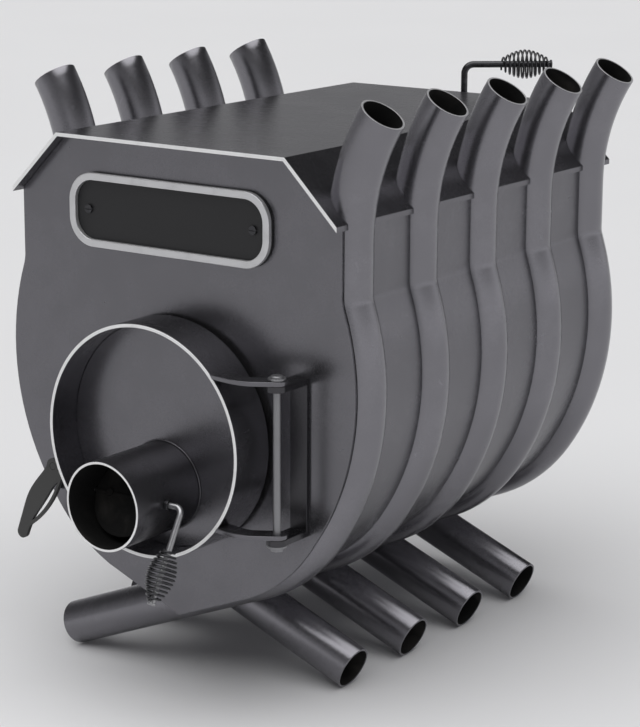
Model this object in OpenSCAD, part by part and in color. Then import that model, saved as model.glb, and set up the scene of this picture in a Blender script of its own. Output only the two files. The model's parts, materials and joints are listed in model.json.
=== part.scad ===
// Convection wood stove: a welded firebox of bent air pipes and plates, with a round swinging
// door, an air tube in the door, a flue spigot at the back and a damper in each.
// Millimetres, +Z up, the floor at z = 0, the front towards -Y, the flue towards +Y.

/* [Convection pipes] */
// Outer diameter of a pipe
pipe_d = 60; // [52:1:62]
// Wall of a pipe
pipe_wall = 3; // [2:0.5:5]
// Spacing of the pipes on one side
pipe_pitch = 147.4; // [142:0.2:160]
// Middle of an inlet mouth from the stove's middle
inlet_reach = 209; // [200:1:225]
// Slope of the straight legs above the floor, in degrees
leg_angle = 22; // [20:0.5:24]
// Radius of the bend between leg and belly
lower_bend_r = 220; // [200:1:240]
// Slope of the pipe where the lower bend meets the belly, in degrees
belly_angle = 55.4; // [52:0.1:60]
// Radius of the belly
belly_r = 335; // [320:1:350]
// Radius of the bend at the waist
waist_r = 60; // [50:1:80]
// How far the belly leans in under the waist, in degrees
waist_angle = 19; // [16:0.5:22]
// Pipe axis to the middle, at the neck
neck_x = 250; // [244:1:260]
// Straight length of the neck
neck_len = 67; // [60:1:80]
// Radius of the flare at the top
flare_r = 300; // [280:1:320]
// Tilt of the outlets, in degrees
flare_angle = 32.5; // [28:0.5:34]

/* [Shell] */
// Thickness of the front and rear panels
panel_t = 5; // [4:0.5:8]
// Thickness of the plates between the pipes
side_t = 4; // [3:0.5:6]
// Outer face of the side plates beyond the pipe axes
side_offset = 11; // [8:0.5:14]
// Panel edge beyond the pipe axes at the bottom
keel_offset = 20; // [14:0.5:24]
// Thickness of the roof plate
roof_t = 5; // [4:0.5:8]
// Roof beyond the front and rear panels
roof_overhang = 17; // [8:1:30]
// Width of a sloped wing, seen from above
wing_run = 79; // [70:1:85]
// Slope of the wings, in degrees
wing_angle = 45; // [42:0.5:48]
// Wing tips above the waist
eave_rise = 93; // [88:1:100]
// Wing tips beyond the side plates
eave_reach = 4; // [2:0.5:8]
// Gap left at every welded seat
weld_gap = 0.2; // [0.1:0.05:0.3]

/* [Fire chambers] */
// Thickness of the baffle between the chambers
baffle_t = 5; // [4:0.5:8]
// Front edge of the baffle behind the front panel
baffle_setback = 190; // [150:5:260]
// Width of the rails under the baffle
rail_w = 25; // [20:1:40]
// Diameter of the air injectors
injector_d = 21; // [18:0.5:24]
// Reach of the injectors into the upper chamber
injector_len = 60; // [40:1:90]
// Wall of the injectors
injector_wall = 2; // [1.5:0.5:3]
// Height of the ash lip in the door mouth
ash_lip_h = 46; // [30:1:60]

/* [Door] */
// Middle of the door above the floor
door_z = 348; // [342:1:354]
// Outer diameter of the door ring
door_d = 311; // [305:1:320]
// Wall of the door ring
door_wall = 5; // [4:0.5:6]
// Front rim of the door ring before the panel
door_front = 76; // [70:1:84]
// Depth of the door ring
door_depth = 68; // [60:1:70]
// Depth of the door plate behind the rim
door_recess = 48; // [44:0.5:50]
// Thickness of the door plate
door_plate_t = 5; // [4:0.5:8]
// Collar that the door shuts on, inside the door ring
collar_inset = 9.5; // [8:0.5:14]
// Wall of the collar
collar_wall = 5; // [4:0.5:8]
// Diameter of the sealing rope
rope_d = 10; // [8:0.5:11]
// Edge of the heat shield inside the door ring
shield_inset = 38.5; // [32:0.5:50]
// Thickness of the heat shield
shield_t = 3; // [2:0.5:4]
// Standoff of the heat shield
shield_standoff = 10; // [6:0.5:12]

/* [Hinge] */
// Hinge axis to the right of the door ring
hinge_reach = 44.5; // [40:0.5:52]
// Hinge axis before the front panel
hinge_y = 51.4; // [48:0.2:56]
// Diameter of the hinge pin
hinge_pin_d = 10; // [8:0.5:12]
// Upper hinge arm above the middle of the door
upper_arm_rise = 104; // [95:1:110]
// Lower hinge arm below the middle of the door
lower_arm_drop = 95.5; // [88:0.5:110]
// Width of the hinge arms and lugs
arm_w = 26; // [22:0.5:30]
// Thickness of the hinge arms
arm_t = 6; // [5:0.5:8]
// Thickness of the bracket lugs
lug_t = 8; // [6:0.5:10]
// Running clearance of pins and shafts, on the radius
run_gap = 0.05; // [0.02:0.01:0.1]
// Gap between faces that slide on each other
slide_gap = 0.3; // [0.2:0.05:0.5]

/* [Latch] */
// Latch pivot beyond the door ring
latch_gap = 28.5; // [26.5:0.5:34]
// Latch pivot below the level of the door's middle, in degrees
latch_angle = 21; // [18:0.5:24]
// Length of the latch handle
latch_len = 118; // [105:1:130]
// Widest half of the latch handle
latch_half_w = 14; // [12:0.5:16]
// Thickness of the latch handle
latch_t = 6; // [5:0.5:8]
// Lean of the latch handle from hanging, in degrees
latch_lean = 29.4; // [25:0.2:35]
// Diameter of the latch shaft
latch_shaft_d = 10; // [8:0.5:12]

/* [Air tube] */
// Outer diameter of the air tube
air_tube_d = 118; // [110:1:122]
// Wall of the air tube
air_tube_wall = 3; // [2:0.5:5]
// Air tube beyond the door plate
air_tube_len = 126.6; // [124:0.2:140]
// Gap between the air tube and the bottom of the door ring
air_tube_inset = 23.5; // [16:0.5:32]
// Damper shaft behind the mouth of the air tube
air_shaft_setback = 56.6; // [55:0.2:60]
// Diameter of the air damper shaft
air_rod_d = 8; // [6:0.5:9]
// Handle of the air damper before hanging, in degrees
air_handle_angle = 30; // [25:1:35]
// Length of the air damper handle
air_handle_len = 129; // [115:1:135]
// Length of the coil grip on the air damper
air_grip_len = 70; // [56:1:72]
// Widest diameter of the air damper grip
air_grip_d = 39; // [34:1:40]
// Curls of the air damper grip
air_curls = 12; // [8:1:12]

/* [Flue] */
// Outer diameter of the flue spigot
flue_d = 120; // [115:1:124]
// Wall of the flue spigot
flue_wall = 3; // [2:0.5:5]
// Length of the flue spigot behind the rear panel
flue_len = 104; // [102:1:140]
// Length of the spigot's end that the flue pipe slides on
slide_len = 50; // [44:1:52]
// Middle of the flue below the roof
flue_drop = 91; // [82:1:92]
// Damper shaft behind the rear panel
flue_shaft_setback = 42.5; // [40:0.5:45]
// Diameter of the flue damper shaft
flue_rod_d = 10; // [8:0.5:11]
// Handle of the flue damper above the roof
flue_handle_rise = 38; // [34:1:50]
// Handle of the flue damper from the right towards the back, in degrees
flue_handle_angle = 39; // [32:1:46]
// Length of the flue damper handle
flue_handle_len = 133; // [120:1:140]
// Length of the coil grip on the flue damper
flue_grip_len = 74; // [60:1:78]
// Widest diameter of the flue damper grip
flue_grip_d = 45; // [40:1:46]
// Curls of the flue damper grip
flue_curls = 11; // [8:1:13]

/* [Dampers] */
// Gap round a closed damper disc
damper_gap = 1.5; // [1:0.1:3]
// Thickness of the damper discs
damper_t = 3; // [2:0.5:4]
// Wire of the coil grips
wire_d = 3; // [2.5:0.1:3.4]
// Width of the damper bushes beyond the tubes
bush_len = 6; // [4:0.5:8]
// Wall of the damper bushes
bush_wall = 3; // [2:0.5:4]
// Diameter of the damper screws
damper_screw_d = 5; // [4:0.5:6]

/* [Nameplate] */
// Width of the nameplate
plate_w = 328; // [300:1:340]
// Height of the nameplate
plate_h = 99; // [90:1:104]
// Corner radius of the nameplate
plate_corner_r = 39; // [30:1:44]
// Middle of the nameplate below the roof
plate_drop = 99; // [94:1:102]
// Middle of the nameplate to the left of the middle
plate_shift = 7; // [0:1:10]
// Thickness of the nameplate
plate_t = 3; // [2:0.5:5]
// Width of the raised rim
rim_w = 10; // [8:0.5:14]
// Height of the raised rim
rim_t = 7; // [5:0.5:10]
// Nameplate screws inside the ends of the nameplate
plate_screw_inset = 29; // [24:1:40]
// Diameter of the nameplate screw heads
plate_screw_d = 12; // [9:0.5:14]

/* [Hidden] */
$fn = 64;

// Pipes on the right side, as the list above has them
right_pipes = 5;

// Colours
dark_steel = "#5b5a60";
pipe_steel = "#6c6b72";
bare_steel = "#b9bbbd";
black_steel = "#2b2a2e";
rope_white = "#d8d4c8";

// Overrun of every cut
cut = 1;
// Turn of a heading by a quarter circle
quarter = 90;

// Pipe sizes and the unit vectors of a heading in the XZ plane
pipe_r = pipe_d / 2;
function along(h) = [cos(h), sin(h)];
function left_of(h) = [-sin(h), cos(h)];

// Headings of the pipe along its way up
lean_heading = quarter + waist_angle;
mouth_heading = quarter - flare_angle;

// The leg is as long as it has to be for the neck to stand at neck_x
leg_len = (neck_x + inlet_reach
    - lower_bend_r * (sin(belly_angle) - sin(leg_angle))
    - belly_r * (sin(lean_heading) - sin(belly_angle))
    + waist_r * (1 - sin(lean_heading))) / cos(leg_angle);

// Joints of the pipe's path, as [x, z]
inlet = [-inlet_reach, pipe_r * cos(leg_angle)];
leg_top = inlet + leg_len * along(leg_angle);
lower_centre = leg_top + lower_bend_r * left_of(leg_angle);
belly_start = lower_centre - lower_bend_r * left_of(belly_angle);
belly_centre = belly_start + belly_r * left_of(belly_angle);
waist_start = belly_centre - belly_r * left_of(lean_heading);
waist_centre = waist_start - waist_r * left_of(lean_heading);
neck_start = waist_centre + waist_r * left_of(quarter);
neck_end = neck_start + neck_len * along(quarter);
flare_centre = neck_end - flare_r * left_of(quarter);
outlet = flare_centre + flare_r * left_of(mouth_heading);
waist_z = neck_start[1];
crossing_z = inlet[1] + inlet_reach * tan(leg_angle);

// Places along the depth, counted back from the face of the front panel
function right_y(i) = panel_t + pipe_r + i * pipe_pitch;
left_pipes = right_pipes - 1;
function left_y(i) = right_y(i) + pipe_pitch / 2;
rear_y = right_y(right_pipes - 1) + pipe_r;
body_depth = rear_y + panel_t;
flue_end_y = body_depth + flue_len;
flue_shaft_y = body_depth + flue_shaft_setback;

// Roof and wings
eave_x = neck_x + side_offset + eave_reach;
eave_z = waist_z + eave_rise;
ridge_x = eave_x - wing_run;
roof_z = eave_z + wing_run * tan(wing_angle);
function under_wing_z(x) = eave_z + (eave_x - x) * tan(wing_angle) - roof_t / cos(wing_angle);

// Door and air tube, along the depth
door_r = door_d / 2;
door_in_r = door_r - door_wall;
door_rear_y = door_depth - door_front;
door_plate_y = door_recess - door_front;
door_back_y = door_plate_y + door_plate_t;
collar_r = door_in_r - collar_inset;
shield_r = door_in_r - shield_inset;
collar_front_y = door_back_y + rope_d + slide_gap;
air_mouth_y = door_plate_y - air_tube_len;
air_shaft_y = air_mouth_y + air_shaft_setback;
air_tube_r = air_tube_d / 2;
air_z = door_z - door_in_r + air_tube_inset + air_tube_r;
air_in_r = air_tube_r - air_tube_wall;
shield_y = door_back_y + shield_standoff;

// Handles of the dampers
air_bend_r = 10;
air_elbow_x = air_tube_r + bush_len + slide_gap + 2 * air_bend_r;
flue_bend_r = 14;
flue_z = roof_z - flue_drop;
flue_r = flue_d / 2;
flue_in_r = flue_r - flue_wall;
flue_handle_z = roof_z + flue_handle_rise;
air_cap_r = 5.5;
flue_cap_r = 6.5;
cap_t = 3;

// The whole part is centred on its depth between the caps of the two handles
front_reach = -air_shaft_y + air_handle_len * sin(air_handle_angle) + air_cap_r * cos(air_handle_angle);
rear_reach = flue_shaft_y + flue_handle_len * sin(flue_handle_angle) + flue_cap_r * cos(flue_handle_angle);
depth_shift = (front_reach - rear_reach) / 2;

// Points on a curve beside the pipe's path, from the middle of the floor up to the neck.
// side is the distance beyond the pipe axis as a function of the heading
bend_step = 3;
function arc_points(centre, r, from, to, turn, extra, drop) = let (
        steps = ceil(abs(to - from) / bend_step)
    ) [
        for (i = [0:steps]) let (
            h = from + (to - from) * i / steps,
            d = beside(h, extra, drop)
        ) centre - turn * (r + turn * d) * left_of(h)
    ];
// Distance beside the path: extra everywhere, growing by drop towards the legs
function beside(h, extra, drop) =
    extra + drop * max(0, min(1, (belly_angle - h) / (belly_angle - leg_angle)));
function half_outline(extra, drop, top_z) = concat(
    [[0, crossing_z - (extra + drop) / cos(leg_angle)]],
    arc_points(lower_centre, lower_bend_r, leg_angle, belly_angle, 1, extra, drop),
    arc_points(belly_centre, belly_r, belly_angle, lean_heading, 1, extra, drop),
    arc_points(waist_centre, waist_r, lean_heading, quarter, -1, extra, drop),
    [[neck_x + extra, top_z]]
);
function mirrored(points) = [for (i = [len(points) - 1:-1:0]) [-points[i][0], points[i][1]]];
function reversed(points) = [for (i = [len(points) - 1:-1:0]) points[i]];

// An outline in the XZ plane, drawn from y0 backwards over depth t
module upright(y0, t) {
    translate([0, y0 + t, 0]) rotate([quarter, 0, 0]) linear_extrude(t) children();
}

// A round bar along Y
module bar_y(x, z, y0, y1, r) {
    translate([x, y0, z]) rotate([-quarter, 0, 0]) cylinder(h = y1 - y0, r = r);
}

// A round tube along Y
module tube_y(x, z, y0, y1, r, wall) {
    difference() {
        bar_y(x, z, y0, y1, r);
        bar_y(x, z, y0 - cut, y1 + cut, r - wall);
    }
}

// A round bar along Z
module bar_z(x, y, z0, z1, r) {
    translate([x, y, z0]) cylinder(h = z1 - z0, r = r);
}

// Moves a piece from the depth scale of the panel face to the part's own frame
module placed() {
    translate([0, depth_shift, 0]) children();
}

// Bending leaves a bend this much slimmer, and the straight runs lap over it
bend_slim = 0.05;
lap = 0.4;

// A straight run of pipe in the XZ plane
module pipe_run(start, heading, length, r, lap_low, lap_high) {
    translate([start[0], 0, start[1]]) rotate([0, quarter - heading, 0]) translate([0, 0, -lap_low])
        cylinder(h = lap_low + length + lap_high, r = r);
}

// A bend in the XZ plane between two angles about its centre, lapping the bends next to it
module pipe_bend(centre, bend_r, from, to, r, lapped) {
    over = atan2(lapped, bend_r);
    translate([centre[0], 0, centre[1]]) rotate([quarter, 0, 0]) rotate([0, 0, from - over])
        rotate_extrude(angle = to - from + 2 * over) translate([bend_r, 0]) circle(r);
}

// The way of a pipe past the roof, filled out to the radius r
module upper_way(r, overrun) {
    pipe_run(neck_start, quarter, neck_len, r, lap, lap);
    pipe_bend(flare_centre, flare_r, quarter + mouth_heading, 2 * quarter, r - bend_slim, 0);
    if (overrun > 0) pipe_run(outlet, mouth_heading, overrun, r, lap, 0);
}

// The way of a pipe's leg, filled out to the radius r
module leg_way(r, overrun) {
    pipe_run(inlet, leg_angle, leg_len, r, overrun, lap);
}

// The whole way of a pipe of the right side, in the plane y = 0
module pipe_way(r, overrun) {
    leg_way(r, overrun);
    pipe_bend(lower_centre, lower_bend_r, leg_angle - quarter, belly_angle - quarter, r - bend_slim, 0);
    pipe_bend(belly_centre, belly_r, belly_angle - quarter, lean_heading - quarter, r, lap);
    pipe_bend(waist_centre, waist_r, 2 * quarter, lean_heading + quarter, r - bend_slim, 0);
    upper_way(r, overrun);
}

// Height of the air injectors and the hole that each needs in its pipe
injector_rise = 34;
injector_z = waist_z + injector_rise;
injector_r = injector_d / 2;
injector_in_r = injector_r - injector_wall;

module injector_hole() {
    translate([0, 0, injector_z]) rotate([0, quarter, 0]) cylinder(h = neck_x, r = injector_in_r);
}

// A bent pipe of the right side, the first one of each side with an injector
module bent_pipe(i) {
    color(pipe_steel) difference() {
        pipe_way(pipe_r, 0);
        pipe_way(pipe_r - pipe_wall, cut);
        if (i == 0) injector_hole();
    }
}

module pipe_right(i) {
    placed() translate([0, right_y(i), 0]) bent_pipe(i);
}

module pipe_left(i) {
    placed() translate([0, left_y(i), 0]) mirror([1, 0, 0]) bent_pipe(i);
}

// Outline of the front and rear panels
module panel_outline() {
    drop = keel_offset - side_offset;
    edge_x = neck_x + side_offset;
    half = half_outline(side_offset, drop, under_wing_z(edge_x) - weld_gap);
    shoulder = [ridge_x - roof_t * tan(wing_angle / 2), roof_z - roof_t - weld_gap];
    right = concat(half, [shoulder]);
    polygon(concat(right, [for (p = mirrored(right)) if (p[0] < 0) p]));
}

module front_panel() {
    placed() color(dark_steel) difference() {
        upright(0, panel_t) panel_outline();
        bar_y(0, door_z, -cut, panel_t + cut, collar_r + weld_gap);
    }
}

module rear_panel() {
    placed() color(dark_steel) difference() {
        upright(rear_y, panel_t) panel_outline();
        bar_y(0, flue_z, rear_y - cut, body_depth + cut, flue_r + weld_gap);
    }
}

module roof_panel() {
    outer = [[eave_x, eave_z], [ridge_x, roof_z]];
    inner = [
        [ridge_x - roof_t * tan(wing_angle / 2), roof_z - roof_t],
        [eave_x, under_wing_z(eave_x)]
    ];
    placed() color(dark_steel) difference() {
        upright(-roof_overhang, body_depth + 2 * roof_overhang)
            polygon(concat(outer, mirrored(outer), mirrored(inner), inner));
        for (i = [0:right_pipes - 1])
            translate([0, right_y(i), 0]) upper_way(pipe_r + weld_gap, 0);
        for (i = [0:left_pipes - 1])
            translate([0, left_y(i), 0]) mirror([1, 0, 0]) upper_way(pipe_r + weld_gap, 0);
    }
}

// A side plate between two pipes of the right side, from y0 to y1, notched for the leg of the
// left pipe that crosses under it. Next to a panel the notch is open towards that panel
module side_plate(y0, y1, crossing_y, panel_side) {
    inner_offset = side_offset - side_t;
    top_z = under_wing_z(neck_x + side_offset) - weld_gap;
    notch_r = pipe_r + weld_gap;
    difference() {
        upright(y0, y1 - y0) polygon(concat(
            half_outline(side_offset, 0, top_z),
            reversed(half_outline(inner_offset, 0, top_z))
        ));
        translate([0, crossing_y, 0]) mirror([1, 0, 0]) {
            leg_way(notch_r, 0);
            if (panel_side != 0) translate([inlet[0], 0, inlet[1]])
                rotate([0, quarter - leg_angle, 0]) translate([-notch_r, panel_side * notch_r - notch_r, 0])
                    cube([2 * notch_r, 2 * notch_r, leg_len]);
        }
    }
}

// Half the width of a pipe at the inner face of the side plates
plate_chord = sqrt(pow(pipe_r, 2) - pow(side_offset - side_t, 2)) + weld_gap;

module side_plate_right(i) {
    placed() color(dark_steel)
        side_plate(right_y(i) + plate_chord, right_y(i + 1) - plate_chord, left_y(i), 0);
}

module side_plate_left(i) {
    y0 = i == 0 ? panel_t + weld_gap : left_y(i - 1) + plate_chord;
    y1 = i == left_pipes ? rear_y - weld_gap : left_y(i) - plate_chord;
    panel_side = i == 0 ? -1 : i == left_pipes ? 1 : 0;
    placed() color(dark_steel) mirror([1, 0, 0]) side_plate(y0, y1, right_y(i), panel_side);
}

module door_collar() {
    placed() color(dark_steel)
        tube_y(0, door_z, collar_front_y, panel_t, collar_r, collar_wall);
}

// The ash lip is the bottom segment of a disc in the collar's bore
ash_lip_t = 4;
module ash_lip() {
    lip_r = collar_r - collar_wall - weld_gap;
    placed() color(black_steel) difference() {
        bar_y(0, door_z, panel_t - ash_lip_t, panel_t, lip_r);
        translate([-lip_r - cut, panel_t - ash_lip_t - cut, door_z - lip_r + ash_lip_h])
            cube([2 * (lip_r + cut), ash_lip_t + 2 * cut, 2 * lip_r]);
    }
}

// Rails under the baffle, against the necks of the pipes
rail_t = 6;
rail_z = waist_z + weld_gap;
rail_x = neck_x - pipe_r - weld_gap;
module baffle_rails() {
    placed() color(black_steel) for (side = [0, 1]) mirror([side, 0, 0])
        translate([rail_x - rail_w, panel_t + weld_gap, rail_z])
            cube([rail_w, rear_y - panel_t - 2 * weld_gap, rail_t]);
}

module baffle_plate() {
    placed() color(black_steel) translate([-rail_x, panel_t + baffle_setback, rail_z + rail_t])
        cube([2 * rail_x, rear_y - panel_t - baffle_setback - weld_gap, baffle_t]);
}

// An injector in the first pipe of each side, saddled on the pipe's neck
module injector() {
    inner_x = neck_x - pipe_r - injector_len;
    difference() {
        translate([inner_x, 0, injector_z]) rotate([0, quarter, 0])
            cylinder(h = injector_len + pipe_r, r = injector_r);
        translate([inner_x - cut, 0, injector_z]) rotate([0, quarter, 0])
            cylinder(h = injector_len + pipe_r + 2 * cut, r = injector_in_r);
        bar_z(neck_x, 0, waist_z, neck_end[1], pipe_r + weld_gap);
    }
}

module injector_tubes() {
    placed() color(black_steel) {
        translate([0, right_y(0), 0]) injector();
        translate([0, left_y(0), 0]) mirror([1, 0, 0]) injector();
    }
}

// Flue spigot through the rear panel, bored for the damper shaft. A groove round it marks how
// far the flue pipe slides on
groove_w = 2;
groove_depth = 1;
module flue_spigot() {
    groove_y = flue_end_y - slide_len - groove_w;
    placed() color(dark_steel) difference() {
        tube_y(0, flue_z, rear_y, flue_end_y, flue_r, flue_wall);
        tube_y(0, flue_z, groove_y, groove_y + groove_w, flue_r + cut, groove_depth + cut);
        bar_z(0, flue_shaft_y, flue_z - flue_d, flue_z + flue_d, flue_rod_d / 2 + bush_wall / 2);
    }
}

// A bush is a stepped sleeve: its neck stands in the wall of a tube of the outer radius tube_r,
// its head on the tube, and the shaft runs along local +Z
module bush(tube_r, wall, rod_d) {
    neck_r = rod_d / 2 + bush_wall / 2 - weld_gap;
    head_r = rod_d / 2 + bush_wall;
    seat = tube_r + weld_gap;
    difference() {
        union() {
            translate([0, 0, tube_r - wall]) cylinder(h = wall + bush_len, r = neck_r);
            translate([0, 0, seat]) cylinder(h = bush_len - weld_gap, r = head_r);
        }
        cylinder(h = tube_r + bush_len + cut, r = rod_d / 2 + run_gap);
    }
}

module flue_damper_bushes() {
    placed() color(bare_steel) translate([0, flue_shaft_y, flue_z]) for (turn = [0, 2 * quarter])
        rotate([turn, 0, 0]) bush(flue_r, flue_wall, flue_rod_d);
}

// A rod with a bent handle: local +Z is the shaft up to the bend, local +X is the handle
module handled_rod(low, high, bend_r, reach, rod_d, cap_r) {
    r = rod_d / 2;
    translate([0, 0, low]) cylinder(h = high - bend_r - low, r = r);
    translate([bend_r, 0, high - bend_r]) rotate([quarter, 0, 0]) rotate([0, 0, quarter])
        rotate_extrude(angle = quarter) translate([bend_r, 0]) circle(r);
    translate([bend_r, 0, high]) rotate([0, quarter, 0]) cylinder(h = reach - cap_t - bend_r, r = r);
    translate([reach - cap_t, 0, high]) rotate([0, quarter, 0]) cylinder(h = cap_t, r = cap_r);
}

// Places of the flue damper's shaft below and above the flue
flue_rod_low = -flue_r - bush_len - flue_rod_d / 2;
module flue_frame() {
    placed() translate([0, flue_shaft_y, flue_z]) rotate([0, 0, flue_handle_angle]) children();
}

module flue_damper_shaft() {
    flue_frame() color(black_steel) difference() {
        handled_rod(flue_rod_low, flue_handle_z - flue_z, flue_bend_r, flue_handle_len,
            flue_rod_d, flue_cap_r);
        damper_seat(flue_in_r, flue_rod_d);
        damper_screw_holes(flue_in_r);
    }
}

// A damper disc stands in the plane of local X and Z, on a flat milled into the shaft.
// A quarter of the flue's disc is cut away so that it never shuts the flue
module damper_seat(in_r, rod_d) {
    disc_r = in_r - damper_gap;
    translate([-rod_d, -rod_d, -disc_r - damper_gap / 2])
        cube([2 * rod_d, rod_d + weld_gap / 2, 2 * disc_r + damper_gap]);
}

module damper_disc(in_r) {
    disc_r = in_r - damper_gap;
    difference() {
        translate([0, -weld_gap / 2, 0]) rotate([quarter, 0, 0]) cylinder(h = damper_t, r = disc_r);
        damper_screw_holes(in_r);
    }
}

// Two screws hold each disc to its shaft
screw_share = 0.55;
module damper_screw_holes(in_r) {
    for (side = [-1, 1]) translate([0, 0, side * in_r * screw_share]) rotate([quarter, 0, 0])
        translate([0, 0, -in_r]) cylinder(h = 2 * in_r, r = damper_screw_d / 2 + weld_gap);
}

module damper_screws(in_r, rod_d) {
    head_h = damper_screw_d / 2;
    for (side = [-1, 1]) translate([0, 0, side * in_r * screw_share]) rotate([quarter, 0, 0])
        translate([0, 0, -rod_d / 2 - weld_gap]) {
            cylinder(h = rod_d / 2 + weld_gap + damper_t + 2 * weld_gap, r = damper_screw_d / 2);
            translate([0, 0, rod_d / 2 + damper_t + 2 * weld_gap])
                cylinder(h = head_h, r = damper_screw_d);
        }
}

module flue_damper_disc() {
    disc_r = flue_in_r - damper_gap;
    flue_frame() color(black_steel) difference() {
        damper_disc(flue_in_r);
        translate([flue_rod_d, -damper_t - cut, -disc_r - flue_rod_d])
            cube([disc_r, damper_t + 2 * cut, disc_r]);
    }
}

module flue_damper_screws() {
    flue_frame() color(bare_steel) damper_screws(flue_in_r, flue_rod_d);
}

// Path of a barrel coil round a rod along +X, from x0 over length len: a straight end out of
// the rod, the curls, and a straight end back into it
curl_rings = 8;
function coil_point(t, curls, x0, length, root_r, belly) = let (
        a = t * curls * 4 * quarter,
        r = root_r + (belly - root_r) * sin(2 * quarter * t)
    ) [x0 + length * t, r * cos(a), r * sin(a)];
function coil_path(curls, x0, length, rod_d, grip_d) = let (
        seat = rod_d / 2 + weld_gap / 2,
        root_r = seat + wire_d,
        belly = (grip_d - wire_d) / 2,
        n = curls * curl_rings
    ) concat(
        [[x0, seat, 0]],
        [for (i = [0:n]) coil_point(i / n, curls, x0, length, root_r, belly)],
        [[x0 + length, seat, 0]]
    );

// Sweep of a six-sided wire along a path, carrying its own sideways direction along
function unit(v) = v / norm(v);
function heading_at(path, i) = unit(path[min(i + 1, len(path) - 1)] - path[max(i - 1, 0)]);
function sideways(path, i, u) = let (t = heading_at(path, i)) unit(u - (u * t) * t);
function sides(path, i, u) = i == len(path) ? [] : let (s = sideways(path, i, u))
    concat([s], sides(path, i + 1, s));
wire_sides = 6;
module wire(path, r) {
    frames = sides(path, 0, [1, 0, 0]);
    n = len(path);
    points = [
        for (i = [0:n - 1]) let (t = heading_at(path, i), u = frames[i], v = cross(t, u))
            for (k = [0:wire_sides - 1])
                let (turn = k * 4 * quarter / wire_sides) path[i] + r * (u * cos(turn) + v * sin(turn))
    ];
    last = (n - 1) * wire_sides;
    faces = concat(
        [for (k = [1:wire_sides - 2]) [0, k, k + 1]],
        [for (k = [1:wire_sides - 2]) [last, last + k + 1, last + k]],
        [for (i = [0:n - 2]) for (k = [0:wire_sides - 1]) let (
            a = i * wire_sides + k, b = i * wire_sides + (k + 1) % wire_sides,
            c = a + wire_sides, d = b + wire_sides
        ) each [[a, c, b], [b, c, d]]]
    );
    polyhedron(points = points, faces = faces);
}

// Least gap of a coil to itself, measured between its points half a curl or more apart
function least_gap(path) = min([
    for (i = [0:len(path) - 1]) for (j = [i + curl_rings / 2:1:len(path) - 1]) norm(path[i] - path[j])
]) - wire_d;

air_path = coil_path(air_curls, air_handle_len - cap_t - air_grip_len, air_grip_len - wire_d,
    air_rod_d, air_grip_d);
flue_path = coil_path(flue_curls, flue_handle_len - cap_t - flue_grip_len, flue_grip_len - wire_d,
    flue_rod_d, flue_grip_d);
echo("least gap of the air damper coil", least_gap(air_path));
echo("least gap of the flue damper coil", least_gap(flue_path));

module flue_grip_coil() {
    flue_frame() color(black_steel) translate([0, 0, flue_handle_z - flue_z]) wire(flue_path, wire_d / 2);
}

// Air damper: local +Z is the shaft, towards the stove's right, and local +X is the handle
module air_frame() {
    placed() translate([0, air_shaft_y, air_z]) rotate([-air_handle_angle, 0, 0])
        rotate([0, quarter, 0]) children();
}

module air_damper_bushes() {
    placed() color(bare_steel) translate([0, air_shaft_y, air_z]) for (side = [-1, 1])
        rotate([0, side * quarter, 0]) bush(air_tube_r, air_tube_wall, air_rod_d);
}

module air_damper_shaft() {
    air_frame() color(black_steel) difference() {
        handled_rod(-air_tube_r - bush_len - air_rod_d / 2, air_elbow_x, air_bend_r, air_handle_len,
            air_rod_d, air_cap_r);
        damper_seat(air_in_r, air_rod_d);
        damper_screw_holes(air_in_r);
    }
}

module air_damper_disc() {
    air_frame() color(black_steel) damper_disc(air_in_r);
}

module air_damper_screws() {
    air_frame() color(bare_steel) damper_screws(air_in_r, air_rod_d);
}

module air_grip_coil() {
    air_frame() color(black_steel) translate([0, 0, air_elbow_x]) wire(air_path, wire_d / 2);
}

// Door: a ring with a recessed plate, a rope seal and a heat shield
module door_ring() {
    placed() color(dark_steel) tube_y(0, door_z, -door_front, door_rear_y, door_r, door_wall);
}

module door_plate() {
    placed() color(dark_steel) difference() {
        bar_y(0, door_z, door_plate_y, door_back_y, door_in_r - weld_gap);
        bar_y(0, air_z, door_plate_y - cut, door_back_y + cut, air_tube_r + weld_gap);
    }
}

rope_line_r = collar_r - collar_wall / 2;
module door_rope() {
    placed() color(rope_white) translate([0, door_back_y + rope_d / 2, door_z])
        rotate([quarter, 0, 0]) rotate_extrude() translate([rope_line_r, 0]) circle(rope_d / 2);
}

retainer_t = 3;
retainer_share = 0.6;
module rope_retainer() {
    placed() color(black_steel) tube_y(0, door_z, door_back_y, door_back_y + rope_d * retainer_share,
        rope_line_r - rope_d / 2 - weld_gap, retainer_t);
}

module air_tube() {
    placed() color(dark_steel) difference() {
        tube_y(0, air_z, air_mouth_y, door_back_y, air_tube_r, air_tube_wall);
        translate([0, air_shaft_y, air_z]) rotate([0, quarter, 0]) translate([0, 0, -air_tube_d])
            cylinder(h = 2 * air_tube_d, r = air_rod_d / 2 + bush_wall / 2);
    }
}

// Weld ring round the root of the air tube
flange_w = 2;
module air_tube_flange() {
    placed() color(dark_steel) tube_y(0, air_z, door_plate_y - flange_w, door_plate_y,
        air_tube_r + weld_gap + flange_w, flange_w);
}

// Places of the three shield bolts round the middle of the door
shield_bolt_d = 10;
shield_bolt_share = 0.8;
shield_bolt_angles = [30, 150, 270];
module at_shield_bolts() {
    for (a = shield_bolt_angles) translate([
        shield_r * shield_bolt_share * cos(a), 0, shield_r * shield_bolt_share * sin(a)
    ]) children();
}

module door_shield() {
    placed() color(black_steel) difference() {
        bar_y(0, door_z, shield_y, shield_y + shield_t, shield_r);
        translate([0, 0, door_z]) at_shield_bolts()
            bar_y(0, 0, shield_y - cut, shield_y + shield_t + cut, shield_bolt_d / 2 + weld_gap);
    }
}

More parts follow.
